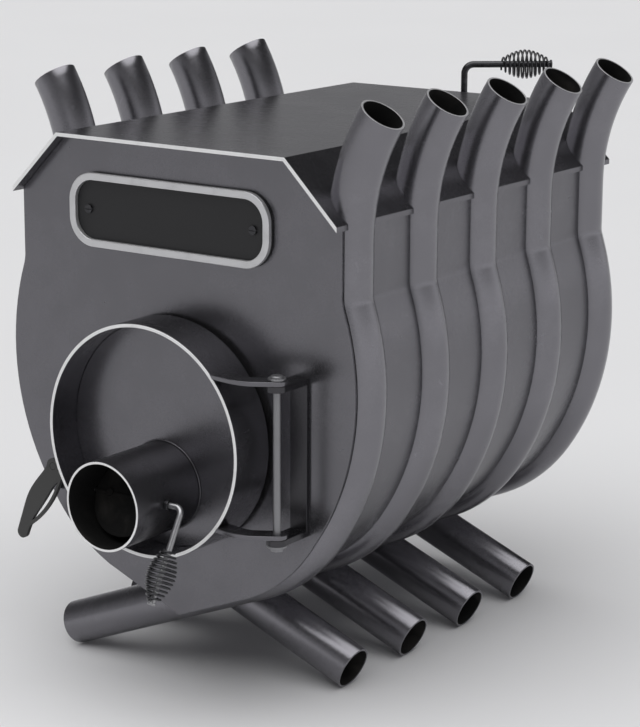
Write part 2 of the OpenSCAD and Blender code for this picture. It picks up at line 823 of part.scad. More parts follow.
module shield_bolts() {
    sleeve_r = shield_bolt_d / 2 + shield_t;
    placed() color(bare_steel) translate([0, 0, door_z]) at_shield_bolts() {
        bar_y(0, 0, door_back_y, shield_y, sleeve_r);
        bar_y(0, 0, shield_y, shield_y + shield_t, shield_bolt_d / 2);
        bar_y(0, 0, shield_y + shield_t, shield_y + 2 * shield_t, sleeve_r);
    }
}

// Hinge: a bracket on the panel, a pin through its lugs and two arms on the door ring
hinge_x = door_r + hinge_reach;
pin_r = hinge_pin_d / 2;
upper_arm_z = door_z + upper_arm_rise - arm_t / 2;
lower_arm_z = door_z - lower_arm_drop - arm_t / 2;
upper_lug_z = upper_arm_z - slide_gap - lug_t;
lower_lug_z = lower_arm_z - slide_gap - lug_t;
washer_t = 3;

// Eyes round the pins stand a little proud of the bars that carry them
eye_lip = 0.6;
eye_r = arm_w / 2 + eye_lip;

// A corner b between a and c, rounded off; at t = 0 to 1 along the rounding
function bend(a, b, c, t) = (1 - t) * (1 - t) * a + 2 * t * (1 - t) * b + t * t * c;

// Middle line of an arm in plan: a straight run from inside the ring, an elbow that dips
// forward, and a straight run back to the pin
elbow_run = 36;
elbow_dip = 22;
root_rise = 16;
elbow_share = 0.3;
elbow_steps = 8;
function beside_way(p, way, w) = p + w * [-way[1], way[0]] / norm(way);
function arm_side(root, elbow, pin, w) = let (
        a = elbow + elbow_share * (root - elbow),
        c = elbow + elbow_share * (pin - elbow)
    ) concat(
        [beside_way(root, elbow - root, w)],
        [for (i = [0:elbow_steps]) let (t = i / elbow_steps)
            beside_way(bend(a, elbow, c, t), (1 - t) * (elbow - a) + t * (c - elbow), w)],
        [beside_way(pin, pin - elbow, w)]
    );
module hinge_arm(z) {
    pin = [hinge_x, -hinge_y];
    elbow = pin - [elbow_run, elbow_dip];
    root = [door_r / 2, elbow[1] + root_rise];
    sides = [for (w = [-arm_w / 2, arm_w / 2]) arm_side(root, elbow, pin, w)];
    placed() color(dark_steel) difference() {
        union() {
            translate([0, 0, z]) linear_extrude(arm_t) polygon(concat(sides[0], reversed(sides[1])));
            bar_z(hinge_x, -hinge_y, z, z + arm_t, eye_r);
        }
        bar_y(0, door_z, -door_front - arm_w, door_rear_y + arm_w, door_r + weld_gap);
        bar_z(hinge_x, -hinge_y, z - cut, z + arm_t + cut, pin_r + run_gap);
    }
}

module hinge_arm_upper() {
    hinge_arm(upper_arm_z);
}

module hinge_arm_lower() {
    hinge_arm(lower_arm_z);
}

bracket_t = 5;
module hinge_bracket() {
    low = lower_lug_z;
    high = upper_lug_z + lug_t;
    placed() color(dark_steel) {
        translate([hinge_x - arm_w / 2, -bracket_t - weld_gap, low])
            cube([arm_w, bracket_t, high - low]);
        for (z = [lower_lug_z, upper_lug_z]) difference() {
            union() {
                translate([hinge_x - arm_w / 2, -hinge_y, z])
                    cube([arm_w, hinge_y - bracket_t - weld_gap, lug_t]);
                bar_z(hinge_x, -hinge_y, z, z + lug_t, eye_r);
            }
            bar_z(hinge_x, -hinge_y, z - cut, z + lug_t + cut, pin_r + run_gap);
        }
    }
}

// The pin's head is a flat disc with a smaller disc on it
pin_head_r = 11.5;
module hinge_pin() {
    top = upper_arm_z + arm_t;
    placed() color(pipe_steel) {
        bar_z(hinge_x, -hinge_y, lower_lug_z - washer_t - nut_h, top + weld_gap + washer_t, pin_r);
        bar_z(hinge_x, -hinge_y, top + weld_gap, top + weld_gap + washer_t, pin_head_r);
        bar_z(hinge_x, -hinge_y, top + weld_gap, top + weld_gap + 2 * washer_t, (pin_r + pin_head_r) / 2);
    }
}

// Six-sided nut under the lower lug, on a washer
nut_corner_share = 0.9;
nut_h = 5;
module hinge_nut() {
    low = lower_lug_z - weld_gap - washer_t;
    placed() color(bare_steel) difference() {
        union() {
            bar_z(hinge_x, -hinge_y, low, low + washer_t, arm_w / 2);
            translate([hinge_x, -hinge_y, low - nut_h])
                cylinder(h = nut_h, r = hinge_pin_d * nut_corner_share, $fn = 6);
        }
        bar_z(hinge_x, -hinge_y, low - nut_h - cut, low + washer_t + cut, pin_r + weld_gap);
    }
}

// Latch: a shaft in a lug on the ring, with the handle before the lug and a finger behind it.
// Turned down, the finger stands behind the lip of a keeper on the panel
latch_reach = door_r + latch_gap;
latch_x = -latch_reach * cos(latch_angle);
latch_z = door_z - latch_reach * sin(latch_angle);
latch_y = -hinge_y - latch_t / 2;
latch_shaft_r = latch_shaft_d / 2;
latch_lug_y = latch_y + latch_t + slide_gap;
finger_y = latch_lug_y + lug_t + slide_gap;
lug_w = 20;
lug_step = 15;
module latch_lug() {
    way = 2 * quarter + latch_angle;
    root = [0, door_z] + (door_r - lug_w) * along(way);
    half_w = lug_w / 2;
    outline = concat(
        [root - half_w * left_of(way)],
        [for (a = [-quarter:lug_step:quarter]) [latch_x, latch_z] + half_w * along(way + a)],
        [root + half_w * left_of(way)]
    );
    placed() color(dark_steel) difference() {
        upright(latch_lug_y, lug_t) polygon(outline);
        bar_y(0, door_z, -door_front, door_rear_y, door_r + weld_gap);
        bar_y(latch_x, latch_z, latch_lug_y - cut, finger_y, latch_shaft_r + run_gap);
    }
}

latch_head_t = 4;
module latch_shaft() {
    r = latch_shaft_r;
    back = finger_y + latch_t;
    placed() color(bare_steel) {
        bar_y(latch_x, latch_z, latch_y, back, r);
        bar_y(latch_x, latch_z, back, back + latch_head_t, r + latch_head_t);
    }
}

// The handle's frame: its leaf lies along local +X, with local +Z to the door's side
module latch_frame(y) {
    placed() translate([latch_x, y, latch_z]) rotate([0, quarter + latch_lean, 0]) children();
}

// The leaf's edges: share of its length, then its outer and inner half widths as shares
leaf_shares = [
    [0, 0.64, 1.36], [0.11, 0.68, 1.32], [0.2, 0.84, 0.98], [0.31, 1.04, 0.88], [0.42, 1.18, 0.8],
    [0.5, 1.22, 0.72], [0.58, 1.19, 0.63], [0.68, 1.07, 0.5], [0.78, 0.92, 0.44],
    [0.9, 0.76, 0.52], [1, 0.61, 0.61]
];
// Rounds off the corners of a line
corner_share = 0.45;
corner_steps = 3;
function rounded_line(p) = [
    p[0],
    for (i = [1:len(p) - 2]) for (k = [0:corner_steps]) bend(
        p[i] + corner_share * (p[i - 1] - p[i]),
        p[i],
        p[i] + corner_share * (p[i + 1] - p[i]),
        k / corner_steps
    ),
    p[len(p) - 1]
];
hub_share = 0.75;
strap_t = 4;
strap_root_share = 1.22;
strap_end_share = 0.86;
strap_bend_share = 1.5;
module latch_handle() {
    outer = rounded_line([for (s = leaf_shares) [s[0] * latch_len, -s[1] * latch_half_w]]);
    inner = rounded_line([for (s = leaf_shares) [s[0] * latch_len, s[2] * latch_half_w]]);
    tip_r = leaf_shares[len(leaf_shares) - 1][1] * latch_half_w;
    root = [0, strap_root_share * latch_half_w];
    end = [strap_end_share * latch_len, tip_r / 2];
    strap_r = strap_bend_share * norm(end - root);
    half_turn = asin(1 / (2 * strap_bend_share));
    lean = atan2(end[1] - root[1], end[0] - root[0]);
    centre = (root + end) / 2 - strap_r * cos(half_turn) * left_of(lean);
    latch_frame(latch_y) color(black_steel) difference() {
        union() {
            upright(0, latch_t) polygon(concat(inner, reversed(outer)));
            bar_y(0, 0, 0, latch_t, hub_share * latch_half_w);
            bar_y(latch_len, 0, 0, latch_t, tip_r);
            translate([centre[0], latch_t, centre[1]]) rotate([quarter, 0, 0])
                rotate([0, 0, quarter + lean - half_turn]) rotate_extrude(angle = 2 * half_turn)
                    translate([strap_r - strap_t / 2, 0]) square([strap_t, latch_t]);
        }
        bar_y(0, 0, -cut, latch_t + cut, latch_shaft_r + weld_gap);
    }
}

// The finger points the same way as the handle
finger_len = 30;
finger_w = 12;
module latch_finger() {
    latch_frame(finger_y) color(dark_steel) difference() {
        union() {
            translate([0, 0, -finger_w / 2]) cube([finger_len, latch_t, finger_w]);
            bar_y(0, 0, 0, latch_t, lug_w / 2);
        }
        bar_y(0, 0, -cut, latch_t + cut, latch_shaft_r + weld_gap);
    }
}

// The keeper's lip ends just short of the lifted finger and reaches halfway over the hanging one
keeper_t = 6;
keeper_w = 14;
keeper_lip = 12.5;
keeper_gap = 0.7;
module latch_keeper() {
    lip_x = latch_x - keeper_gap;
    high = latch_z - lug_w / 2 - lug_t;
    front = latch_lug_y + lug_t - keeper_t;
    placed() color(dark_steel) {
        translate([lip_x, front, high - keeper_w]) cube([keeper_lip, keeper_t, keeper_w]);
        translate([lip_x + keeper_lip, front, high - keeper_w])
            cube([keeper_t, -front - weld_gap, keeper_w]);
    }
}

// Nameplate, bare
plate_z = roof_z - plate_drop;
module rounded(w, h, r) {
    for (sx = [-1, 1]) for (sz = [-1, 1]) translate([sx * (w / 2 - r), sz * (h / 2 - r)]) circle(r);
    square([w - 2 * r, h], center = true);
    square([w, h - 2 * r], center = true);
}

module at_plate_screws() {
    for (side = [-1, 1])
        translate([-plate_shift + side * (plate_w / 2 - plate_screw_inset), 0, plate_z]) children();
}

module nameplate() {
    placed() color(black_steel) translate([-plate_shift, 0, plate_z])
        upright(-plate_t - weld_gap, plate_t) rounded(plate_w, plate_h, plate_corner_r);
}

module nameplate_rim() {
    placed() color(bare_steel) translate([-plate_shift, 0, plate_z]) difference() {
        upright(-plate_t - weld_gap - rim_t, rim_t) rounded(plate_w, plate_h, plate_corner_r);
        upright(-plate_t - weld_gap - rim_t - cut, rim_t + 2 * cut)
            rounded(plate_w - 2 * rim_w, plate_h - 2 * rim_w, plate_corner_r - rim_w);
    }
}

// Slotted heads of the nameplate's screws
plate_head_t = 3;
slot_w = 1.5;
slot_depth = 1.5;
module nameplate_screws() {
    seat = -plate_t - weld_gap;
    placed() color(black_steel) at_plate_screws() difference() {
        bar_y(0, 0, seat - plate_head_t, seat, plate_screw_d / 2);
        translate([-plate_screw_d, seat - plate_head_t - cut, -slot_w / 2])
            cube([2 * plate_screw_d, slot_depth + cut, slot_w]);
    }
}

front_panel();
rear_panel();
roof_panel();
for (i = [0:right_pipes - 1])
    pipe_right(i);
for (i = [0:left_pipes - 1])
    pipe_left(i);
for (i = [0:left_pipes - 1])
    side_plate_right(i);
for (i = [0:left_pipes])
    side_plate_left(i);
door_collar();
ash_lip();
baffle_plate();
baffle_rails();
injector_tubes();
flue_spigot();
flue_damper_bushes();
flue_damper_shaft();
flue_damper_disc();
flue_damper_screws();
flue_grip_coil();
hinge_bracket();
hinge_pin();
hinge_nut();
latch_keeper();
nameplate();
nameplate_rim();
nameplate_screws();
door_ring();
door_plate();
door_rope();
rope_retainer();
hinge_arm_upper();
hinge_arm_lower();
air_tube();
air_tube_flange();
door_shield();
shield_bolts();
latch_lug();
latch_shaft();
latch_handle();
latch_finger();
air_damper_bushes();
air_damper_shaft();
air_damper_disc();
air_damper_screws();
air_grip_coil();
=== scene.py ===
"""A convection wood stove: bent air pipes, welded plates, a round door and coil-handled dampers."""
import json
import math

import bpy
from mathutils import Euler, Matrix, Vector


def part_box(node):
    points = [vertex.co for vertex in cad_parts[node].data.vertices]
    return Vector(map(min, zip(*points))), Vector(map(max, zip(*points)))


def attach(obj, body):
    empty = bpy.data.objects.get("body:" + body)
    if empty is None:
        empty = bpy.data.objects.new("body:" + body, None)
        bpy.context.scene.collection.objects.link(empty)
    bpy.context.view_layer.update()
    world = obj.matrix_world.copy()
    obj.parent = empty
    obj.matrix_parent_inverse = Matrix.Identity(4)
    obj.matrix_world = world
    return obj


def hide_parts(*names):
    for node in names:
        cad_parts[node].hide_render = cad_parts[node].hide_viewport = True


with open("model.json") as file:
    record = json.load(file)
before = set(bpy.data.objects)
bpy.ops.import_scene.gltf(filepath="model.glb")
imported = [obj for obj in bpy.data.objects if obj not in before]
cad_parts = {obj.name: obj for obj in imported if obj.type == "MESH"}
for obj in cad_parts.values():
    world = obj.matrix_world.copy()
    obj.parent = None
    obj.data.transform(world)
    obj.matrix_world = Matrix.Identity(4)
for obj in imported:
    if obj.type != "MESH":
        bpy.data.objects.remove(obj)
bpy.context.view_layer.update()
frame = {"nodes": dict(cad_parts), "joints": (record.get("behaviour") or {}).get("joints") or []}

bl_info = {
    "name": "Convection Wood Stove",
    "version": (1, 0, 0),
    "blender": (4, 5, 0),
    "location": "3D View > Sidebar > Stove",
    "description": "Builds the pieces, finishes and studio of a convection wood stove",
    "category": "Add Mesh",
}

RIGHT_PIPES = [f"pipe_right_{i}" for i in range(1, 6)]
LEFT_PIPES = [f"pipe_left_{i}" for i in range(1, 5)]
SIDE_PLATES = [f"side_plate_right_{i}" for i in range(1, 5)]
SIDE_PLATES += [f"side_plate_left_{i}" for i in range(1, 6)]
QUARTER = math.pi / 2
X_AXIS, Y_AXIS, Z_AXIS = Vector((1, 0, 0)), Vector((0, 1, 0)), Vector((0, 0, 1))

# Distance at which vertices merge, depth of a tube's rim, and how far an outlet's rim drops
MERGE = 1e-6
RIM_DEPTH = 0.002
OUTLET_DROP = 0.05

# How squarely a face has to look along an axis: flat faces, rims and bores
FLAT, RIM, BORE = 0.9, 0.6, 0.5

# Steps of the modelled curves: pipe bends, a rod's bend, one curl of a grip, one twist of rope
LOWER_STEPS, BELLY_STEPS, WAIST_STEPS, FLARE_STEPS = 10, 22, 8, 14
ROD_STEPS, CURL_STEPS, TWIST_STEPS = 12, 28, 8

# Radius of a strand as a share of the rope's, and of the dome as a share of the pin's head's
STRAND_SHARE = 0.54
DOME_SHARE = 0.72

# The photograph's standpoint in metres, its angles in radians, its focal length and height
STANDPOINT = (1.8932, -2.6775, 1.1659)
AZIMUTH, ELEVATION, ROLL = 0.613, 0.236, 0.004
FOCAL_PIXELS, PHOTO_PIXELS = 2378.8, 727.0
SENSOR_HEIGHT = 36.0

# The studio: side of the floor, the camera's reach, and the soft light from above
FLOOR_SIDE = 80.0
CAMERA_REACH = 200.0
SOFTBOX_STRENGTH = 2.9
SOFTBOX_ANGLE = math.radians(80)
SOFTBOX_WAY = Vector((-0.02, 0.20, -1.0))

# Tones of the studio: walls, the screen on the right, the dark above, and what the camera sees
WALLS = (0.36, 0.36, 0.37, 1.0)
SCREEN = (0.95, 0.95, 0.97, 1.0)
CEILING = (0.02, 0.02, 0.022, 1.0)
BACKDROP = (0.72, 0.72, 0.73, 1.0)


def joint_place(child):
    """Place of the joint that turns a body."""
    return Vector(next(j for j in frame["joints"] if j["child"] == child)["pos_m"])


def middle(node):
    """Middle of a node's box."""
    low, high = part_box(node)
    return (low + high) / 2


# Sizes and colours that a user would change


def length_field(name, description, metres):
    """A length that a user can change."""
    return bpy.props.FloatProperty(
        name=name, description=description, default=metres, unit="LENGTH")


def slope_field(name, description, degrees):
    """An angle that a user can change, given in degrees."""
    return bpy.props.FloatProperty(
        name=name, description=description, default=math.radians(degrees), unit="ROTATION")


def count_field(name, description, number):
    """A number of like things."""
    return bpy.props.IntProperty(name=name, description=description, default=number)


def colour_field(name, description, red, green, blue):
    """A colour that a user can change."""
    return bpy.props.FloatVectorProperty(
        name=name, description=description, subtype="COLOR", size=3, default=(red, green, blue))


class StoveSizes(bpy.types.PropertyGroup):
    """Sizes of the stove's own pieces."""

    pipe_radius: length_field("Pipe Radius", "Outer radius of a convection pipe", 0.030)
    pipe_wall: length_field("Pipe Wall", "Wall of a convection pipe", 0.003)
    inlet_reach: length_field("Inlet Reach", "Inlet mouth from the stove's middle", 0.209)
    leg_angle: slope_field("Leg Slope", "Slope of the straight legs", 22)
    lower_bend: length_field("Lower Bend", "Radius of the bend between leg and belly", 0.220)
    belly_angle: slope_field("Belly Slope", "Slope of the pipe where the belly begins", 55.4)
    belly_bend: length_field("Belly Bend", "Radius of the belly", 0.335)
    waist_bend: length_field("Waist Bend", "Radius of the bend at the waist", 0.060)
    waist_angle: slope_field("Waist Lean", "Lean of the belly under the waist", 19)
    neck_reach: length_field("Neck Reach", "Pipe axis to the middle at the neck", 0.250)
    neck_length: length_field("Neck Length", "Straight length of the neck", 0.067)
    flare_bend: length_field("Flare Bend", "Radius of the flare", 0.300)
    flare_angle: slope_field("Flare Tilt", "Tilt of the outlets", 32.5)
    plate_seat: length_field("Plate Seat", "Middle of the side plates beyond the pipe axes", 0.009)
    door_wall: length_field("Door Wall", "Wall of the door ring", 0.005)
    collar_wall: length_field("Collar Wall", "Wall of the collar in the door mouth", 0.005)
    retainer_wall: length_field("Retainer Wall", "Wall of the ring that holds the rope", 0.003)
    rope_strands: count_field("Rope Strands", "Strands twisted into the door rope", 3)
    rope_twists: count_field("Rope Twists", "Twists of the door rope once round", 46)
    pin_radius: length_field("Hinge Pin", "Radius of the hinge pin", 0.005)
    washer: length_field("Washer", "Thickness of the hinge pin's washer", 0.003)
    washer_gap: length_field("Washer Gap", "Gap under the washer", 0.0002)
    dome_sunk: length_field("Dome Sunk", "Depth of the pin's dome in its washer", 0.001)
    wire_radius: length_field("Grip Wire", "Wire radius of the coil grips", 0.0015)
    wire_gap: length_field("Wire Gap", "Gap between a coil's ends and its rod", 0.0001)
    cap: length_field("End Cap", "Thickness of the end caps on the damper handles", 0.003)
    air_lean: slope_field("Air Handle Lean", "Turn of the air damper's handle before it hangs", 30)
    air_bore: length_field("Air Bore", "Inner radius of the air tube", 0.056)
    air_rod: length_field("Air Rod", "Radius of the air damper's rod", 0.004)
    air_cap: length_field("Air Cap", "Radius of the air damper's end cap", 0.0055)
    air_bend: length_field("Air Bend", "Radius of the bend in the air damper's rod", 0.010)
    air_handle: length_field("Air Handle", "Length of the air damper's handle", 0.129)
    air_grip: length_field("Air Grip", "Length of the air damper's grip", 0.070)
    air_curls: count_field("Air Curls", "Curls of the air damper's grip", 12)
    flue_lean: slope_field("Flue Handle Lean", "Turn of the flue damper's handle to the back", 39)
    flue_bore: length_field("Flue Bore", "Inner radius of the flue spigot", 0.057)
    flue_rod: length_field("Flue Rod", "Radius of the flue damper's rod", 0.005)
    flue_cap: length_field("Flue Cap", "Radius of the flue damper's end cap", 0.0065)
    flue_bend: length_field("Flue Bend", "Radius of the bend in the flue damper's rod", 0.014)
    flue_handle: length_field("Flue Handle", "Length of the flue damper's handle", 0.133)
    flue_grip: length_field("Flue Grip", "Length of the flue damper's grip", 0.074)
    flue_curls: count_field("Flue Curls", "Curls of the flue damper's grip", 11)
    rounding: length_field("Edge Rounding", "Rounding of cut edges and small parts", 0.0006)
    mouth_rounding: length_field("Mouth Rounding", "Rounding of tubes, nut and nameplate", 0.0005)
    screw_rounding: length_field("Screw Rounding", "Rounding of the damper screws", 0.0004)
    washer_rounding: length_field("Washer Rounding", "Rounding of the hinge pin's washer", 0.0007)
    dome_rounding: length_field("Dome Rounding", "Rounding of the hinge pin's dome", 0.0036)
    forged_rounding: length_field("Forged Rounding", "Rounding of hinge and latch pieces", 0.0008)
    weld_rounding: length_field("Weld Rounding", "Rounding of the door ring and the weld ring", 0.0009)
    frame_rounding: length_field("Frame Rounding", "Rounding of the nameplate's rim", 0.0012)
    leaf_rounding: length_field("Leaf Rounding", "Rounding of the latch handle", 0.0014)


class StoveColours(bpy.types.PropertyGroup):
    """Colours of the stove's finishes."""

    # Panels take this paint as it is; the pipes take it lightened as painted light, the hinge bracket
    # darkened as painted shade.
    paint: colour_field("Stove Paint", "Heat-resistant paint of panels and pipes", 0.160, 0.157, 0.170)
    black: colour_field("Black Iron", "Grips, bushes and the nameplate", 0.060, 0.060, 0.064)
    leaf: colour_field("Latch Paint", "Paint of the latch handle", 0.044, 0.044, 0.043)
    # This dark colour is real sooting inside the firebox and flue, and painted shade in the bores of
    # the pipes and the air tube.
    soot: colour_field("Soot", "Sooted plates inside", 0.010, 0.010, 0.010)
    ash: colour_field("Ash", "Ash on the sooted plates", 0.030, 0.028, 0.026)
    bare: colour_field("Bare Steel", "Ground and machined steel", 0.62, 0.62, 0.63)
    # Bare cut edges, painted near white as a highlight.
    cut: colour_field("Cut Steel", "Cut edges of the roof, door ring and tubes", 0.86, 0.86, 0.86)
    # Bare outlet rims, lightened as a painted highlight; the inlet rims keep the paint.
    outlet: colour_field("Outlet Rims", "Rims of the pipes' outlets", 0.40, 0.40, 0.41)
    pin: colour_field("Hinge Pin", "Steel of the hinge pin", 0.24, 0.24, 0.25)
    rod: colour_field("Rod Steel", "Rod of the air damper", 0.36, 0.36, 0.37)
    rope: colour_field("Rope", "Glass rope of the door seal", 0.60, 0.58, 0.52)
    smoke: colour_field("Smoke", "Smoke stains on the rope", 0.24, 0.20, 0.15)
    floor: colour_field("Floor", "Pale studio floor", 0.80, 0.80, 0.81)


# Finishes


class Signal:
    """One output in a shader, so that shader maths reads as plain expressions."""

    def __init__(self, finish, socket):
        self.finish = finish
        self.socket = socket

    def maths(self, operation, *values):
        """The result of a maths node."""
        return self.finish.node("Math", {"operation": operation}, dict(enumerate(values)))

    def __add__(self, other):
        return self.maths("ADD", self, other)

    __radd__ = __add__

    def __sub__(self, other):
        return self.maths("SUBTRACT", self, other)

    def __mul__(self, other):
        return self.maths("MULTIPLY", self, other)

    def above(self, low, high):
        """0 below low, 1 above high, smooth between."""
        return self.finish.node(
            "MapRange", {"interpolation_type": "SMOOTHSTEP"},
            {"Value": self, "From Min": low, "From Max": high})


class Finish:
    """The shader of a material or of the world, and the one method that adds its nodes."""

    def __init__(self, owner):
        self.owner = owner
        owner.use_nodes = True
        self.tree = owner.node_tree
        self.tree.nodes.clear()

    def node(self, kind, settings=None, sockets=None, output=0):
        """Adds a node with its settings and sockets, and gives back one of its outputs."""
        node = self.tree.nodes.new("ShaderNode" + kind)
        for key, value in (settings or {}).items():
            setattr(node, key, value)
        for key, value in (sockets or {}).items():
            if isinstance(value, Signal):
                self.tree.links.new(value.socket, node.inputs[key])
            else:
                node.inputs[key].default_value = value
        return Signal(self, node.outputs[output]) if len(node.outputs) else None

    def place(self):
        """Where a spot of the surface is on its object."""
        return self.node("TexCoord", output="Object")

    def noise(self, scale, detail, place, distortion=0.0):
        """Noise from 0 to 1, finer with a larger scale."""
        return self.node("TexNoise", None, {
            "Vector": place, "Scale": scale, "Detail": detail, "Distortion": distortion}, "Fac")

    def blend(self, share, first, second):
        """The first colour at share 0, the second at 1."""
        return self.node("Mix", {"data_type": "RGBA"}, {0: share, 6: first, 7: second}, 2)

    def shader(self, **sockets):
        """Ends the shader in a principled skin, and gives back the material."""
        named = {key.replace("_", " "): value for key, value in sockets.items()}
        skin = self.node("BsdfPrincipled", None, named)
        self.node("OutputMaterial", None, {"Surface": skin})
        return self.owner


def tint(colour, share):
    """A colour at a share of its strength, as RGBA."""
    return tuple(min(1.0, c * share) for c in colour[:3]) + (1.0,)


def painted(name, colour, roughness=0.27, metallic=0.92, scuffed=True):
    """Heat-resistant paint: a fine grain, faint mottling and handling scuffs."""
    finish = Finish(bpy.data.materials.new(name))
    place = finish.place()
    mottle = finish.noise(5.0, 4.0, place)
    cloud = finish.noise(23.0, 3.0, place)
    grain = finish.noise(1900.0, 2.0, place)
    peel = finish.noise(420.0, 2.0, place)
    shade = mottle * 0.6 + cloud * 0.4
    skin = finish.blend(shade.above(0.3, 0.72), tint(colour, 0.93), tint(colour, 1.07))
    skin = finish.blend(grain.above(0.62, 0.80) * 0.35, skin, tint(colour, 1.5))
    gloss = roughness + (shade - 0.5) * 0.14 + (grain - 0.5) * 0.06
    if scuffed:
        streak = finish.noise(34.0, 5.0, place, distortion=1.6)
        scuff = streak.above(0.66, 0.74) * cloud.above(0.5, 0.62)
        skin = finish.blend(scuff * 0.22, skin, tint(colour, 1.9))
        gloss = gloss + scuff * 0.12
    bump = finish.node("Bump", None, {
        "Strength": 0.28, "Distance": 0.0002, "Height": peel * 0.75 + grain * 0.25})
    return finish.shader(Base_Color=skin, Roughness=gloss, Metallic=metallic, Normal=bump)


def sooted_and_shaded(name, colour, ashen):
    """Plate that has stood in the fire: sooting, ash and a rough skin. The same finish blackens the
    bores of the pipes and the air tube as painted shade.
    """
    finish = Finish(bpy.data.materials.new(name))
    place = finish.place()
    ash = finish.noise(17.0, 6.0, place, distortion=0.6)
    crust = finish.noise(240.0, 4.0, place)
    skin = finish.blend(ash.above(0.45, 0.75), tint(colour, 0.8), tint(ashen, 1.0))
    bump = finish.node("Bump", None, {"Strength": 0.5, "Distance": 0.0006, "Height": crust})
    return finish.shader(Base_Color=skin, Roughness=0.78 + crust * 0.16, Normal=bump,
                         Specular_IOR_Level=0.12)


def forged(name, colour):
    """Blackened iron: satin, with rubbed spots where hands have polished it."""
    finish = Finish(bpy.data.materials.new(name))
    place = finish.place()
    rub = finish.noise(60.0, 3.0, place)
    grain = finish.noise(1500.0, 2.0, place)
    skin = finish.blend(rub.above(0.55, 0.75) * 0.5, tint(colour, 0.9), tint(colour, 1.9))
    gloss = 0.27 + (rub - 0.5) * 0.2 + (grain - 0.5) * 0.08
    bump = finish.node("Bump", None, {
        "Strength": 0.25, "Distance": 0.0002, "Height": grain * 0.5 + rub * 0.5})
    return finish.shader(Base_Color=skin, Roughness=gloss, Metallic=0.9, Normal=bump)


def ground(name, colour, metallic=0.75, roughness=0.33):
    """Ground bare steel: fine lines, a little grime."""
    finish = Finish(bpy.data.materials.new(name))
    place = finish.place()
    stretched = finish.node("Mapping", None, {"Vector": place, "Scale": (1.0, 1.0, 14.0)})
    lines = finish.noise(260.0, 3.0, stretched)
    grime = finish.noise(38.0, 4.0, place)
    skin = finish.blend(grime.above(0.5, 0.8) * 0.35, tint(colour, 1.0), tint(colour, 0.62))
    gloss = roughness + (lines - 0.5) * 0.16 + grime * 0.08
    bump = finish.node("Bump", None, {"Strength": 0.2, "Distance": 0.0001, "Height": lines})
    return finish.shader(Base_Color=skin, Roughness=gloss, Metallic=metallic, Normal=bump)


def glass_rope(name, colour, stain):
    """Braided glass fibre, browned where smoke has passed it."""
    finish = Finish(bpy.data.materials.new(name))
    place = finish.place()
    fibre = finish.noise(1300.0, 3.0, place)
    smoke = finish.noise(14.0, 3.0, place)
    skin = finish.blend(smoke.above(0.45, 0.75), tint(colour, 1.0), tint(stain, 1.0))
    skin = finish.blend(fibre * 0.5, skin, tint(colour, 0.6))
    bump = finish.node("Bump", None, {"Strength": 0.6, "Distance": 0.0004, "Height": fibre})
    return finish.shader(Base_Color=skin, Roughness=0.85 + (fibre - 0.5) * 0.2, Normal=bump)


def studio_floor(name, colour):
    """Matt studio paper with a breath of texture."""
    finish = Finish(bpy.data.materials.new(name))
    place = finish.place()
    paper = finish.noise(1.3, 2.0, place)
    fibre = finish.noise(700.0, 2.0, place)
    skin = finish.blend(paper, tint(colour, 0.985), tint(colour, 1.0))
    bump = finish.node("Bump", None, {"Strength": 0.05, "Distance": 0.0002, "Height": fibre})
    return finish.shader(Base_Color=skin, Roughness=0.62 + paper * 0.06, Normal=bump)


# The finishes made so far
FINISHES = {}


def finish_of(name):
    """The named finish, made when it is first asked for."""
    if name not in FINISHES:
        colours = bpy.context.scene.stove_colours
        makers = {
            "stove_paint": lambda: painted(name, colours.paint),
            # The pipes: the stove paint lightened 1.28 times as painted light.
            "pipe_paint": lambda: painted(name, tint(colours.paint, 1.28)),
            # The hinge bracket: the stove paint darkened to 0.4 as painted shade under the door ring.
            "bracket_paint": lambda: painted(name, tint(colours.paint, 0.4)),
            "latch_paint": lambda: painted(name, colours.leaf, roughness=0.5, metallic=0.2),
            "plate_black": lambda: painted(
                name, tint(colours.black, 0.3), roughness=0.5, metallic=0.3, scuffed=False),
            # Real sooting in the fire and the flue; in the bores of the pipes and the air tube it is
            # painted shade.
            "soot": lambda: sooted_and_shaded(name, colours.soot, colours.ash),
            "black_iron": lambda: forged(name, colours.black),
            "bare_steel": lambda: ground(name, colours.bare),
            # Bare cut edges, made near white as a painted highlight.
            "cut_rim": lambda: ground(name, colours.cut, metallic=0.25, roughness=0.42),
            # Outlet rims: bare steel lightened as a painted highlight.
            "pipe_rim": lambda: ground(name, colours.outlet, metallic=0.35, roughness=0.42),
            "pin_steel": lambda: ground(name, colours.pin, metallic=0.8, roughness=0.35),
            "rod_steel": lambda: ground(name, colours.rod, metallic=0.9, roughness=0.28),
            "glass_rope": lambda: glass_rope(name, colours.rope, colours.smoke),
            "floor": lambda: studio_floor(name, colours.floor),
        }
        FINISHES[name] = makers[name]()
    return FINISHES[name]


# Modelling steps that several pieces share


def deselect():
    """Leaves edit mode and selects nothing."""
    if bpy.context.mode != "OBJECT":
        bpy.ops.object.mode_set(mode="OBJECT")
    bpy.ops.object.select_all(action="DESELECT")


def only(piece):
    """Selects one object and nothing else."""
    deselect()
    piece.select_set(True)
    bpy.context.view_layer.objects.active = piece


def new_piece(name):
    """Names the primitive just added, and puts its place into its mesh."""
    piece = bpy.context.object
    piece.name = name
    piece.data.name = name
    bpy.ops.object.transform_apply(location=True, rotation=True, scale=True)
    return piece


def turned_to(axis):
    """Rotation that points a primitive's own Z along an axis."""
    return Vector(axis).to_track_quat("Z", "Y").to_euler()


def modify(piece, kind, **settings):
    """Adds a modifier and applies it."""
    only(piece)
    modifier = piece.modifiers.new(kind.lower(), kind)
    for key, value in settings.items():
        setattr(modifier, key, value)
    bpy.ops.object.modifier_apply(modifier=modifier.name)


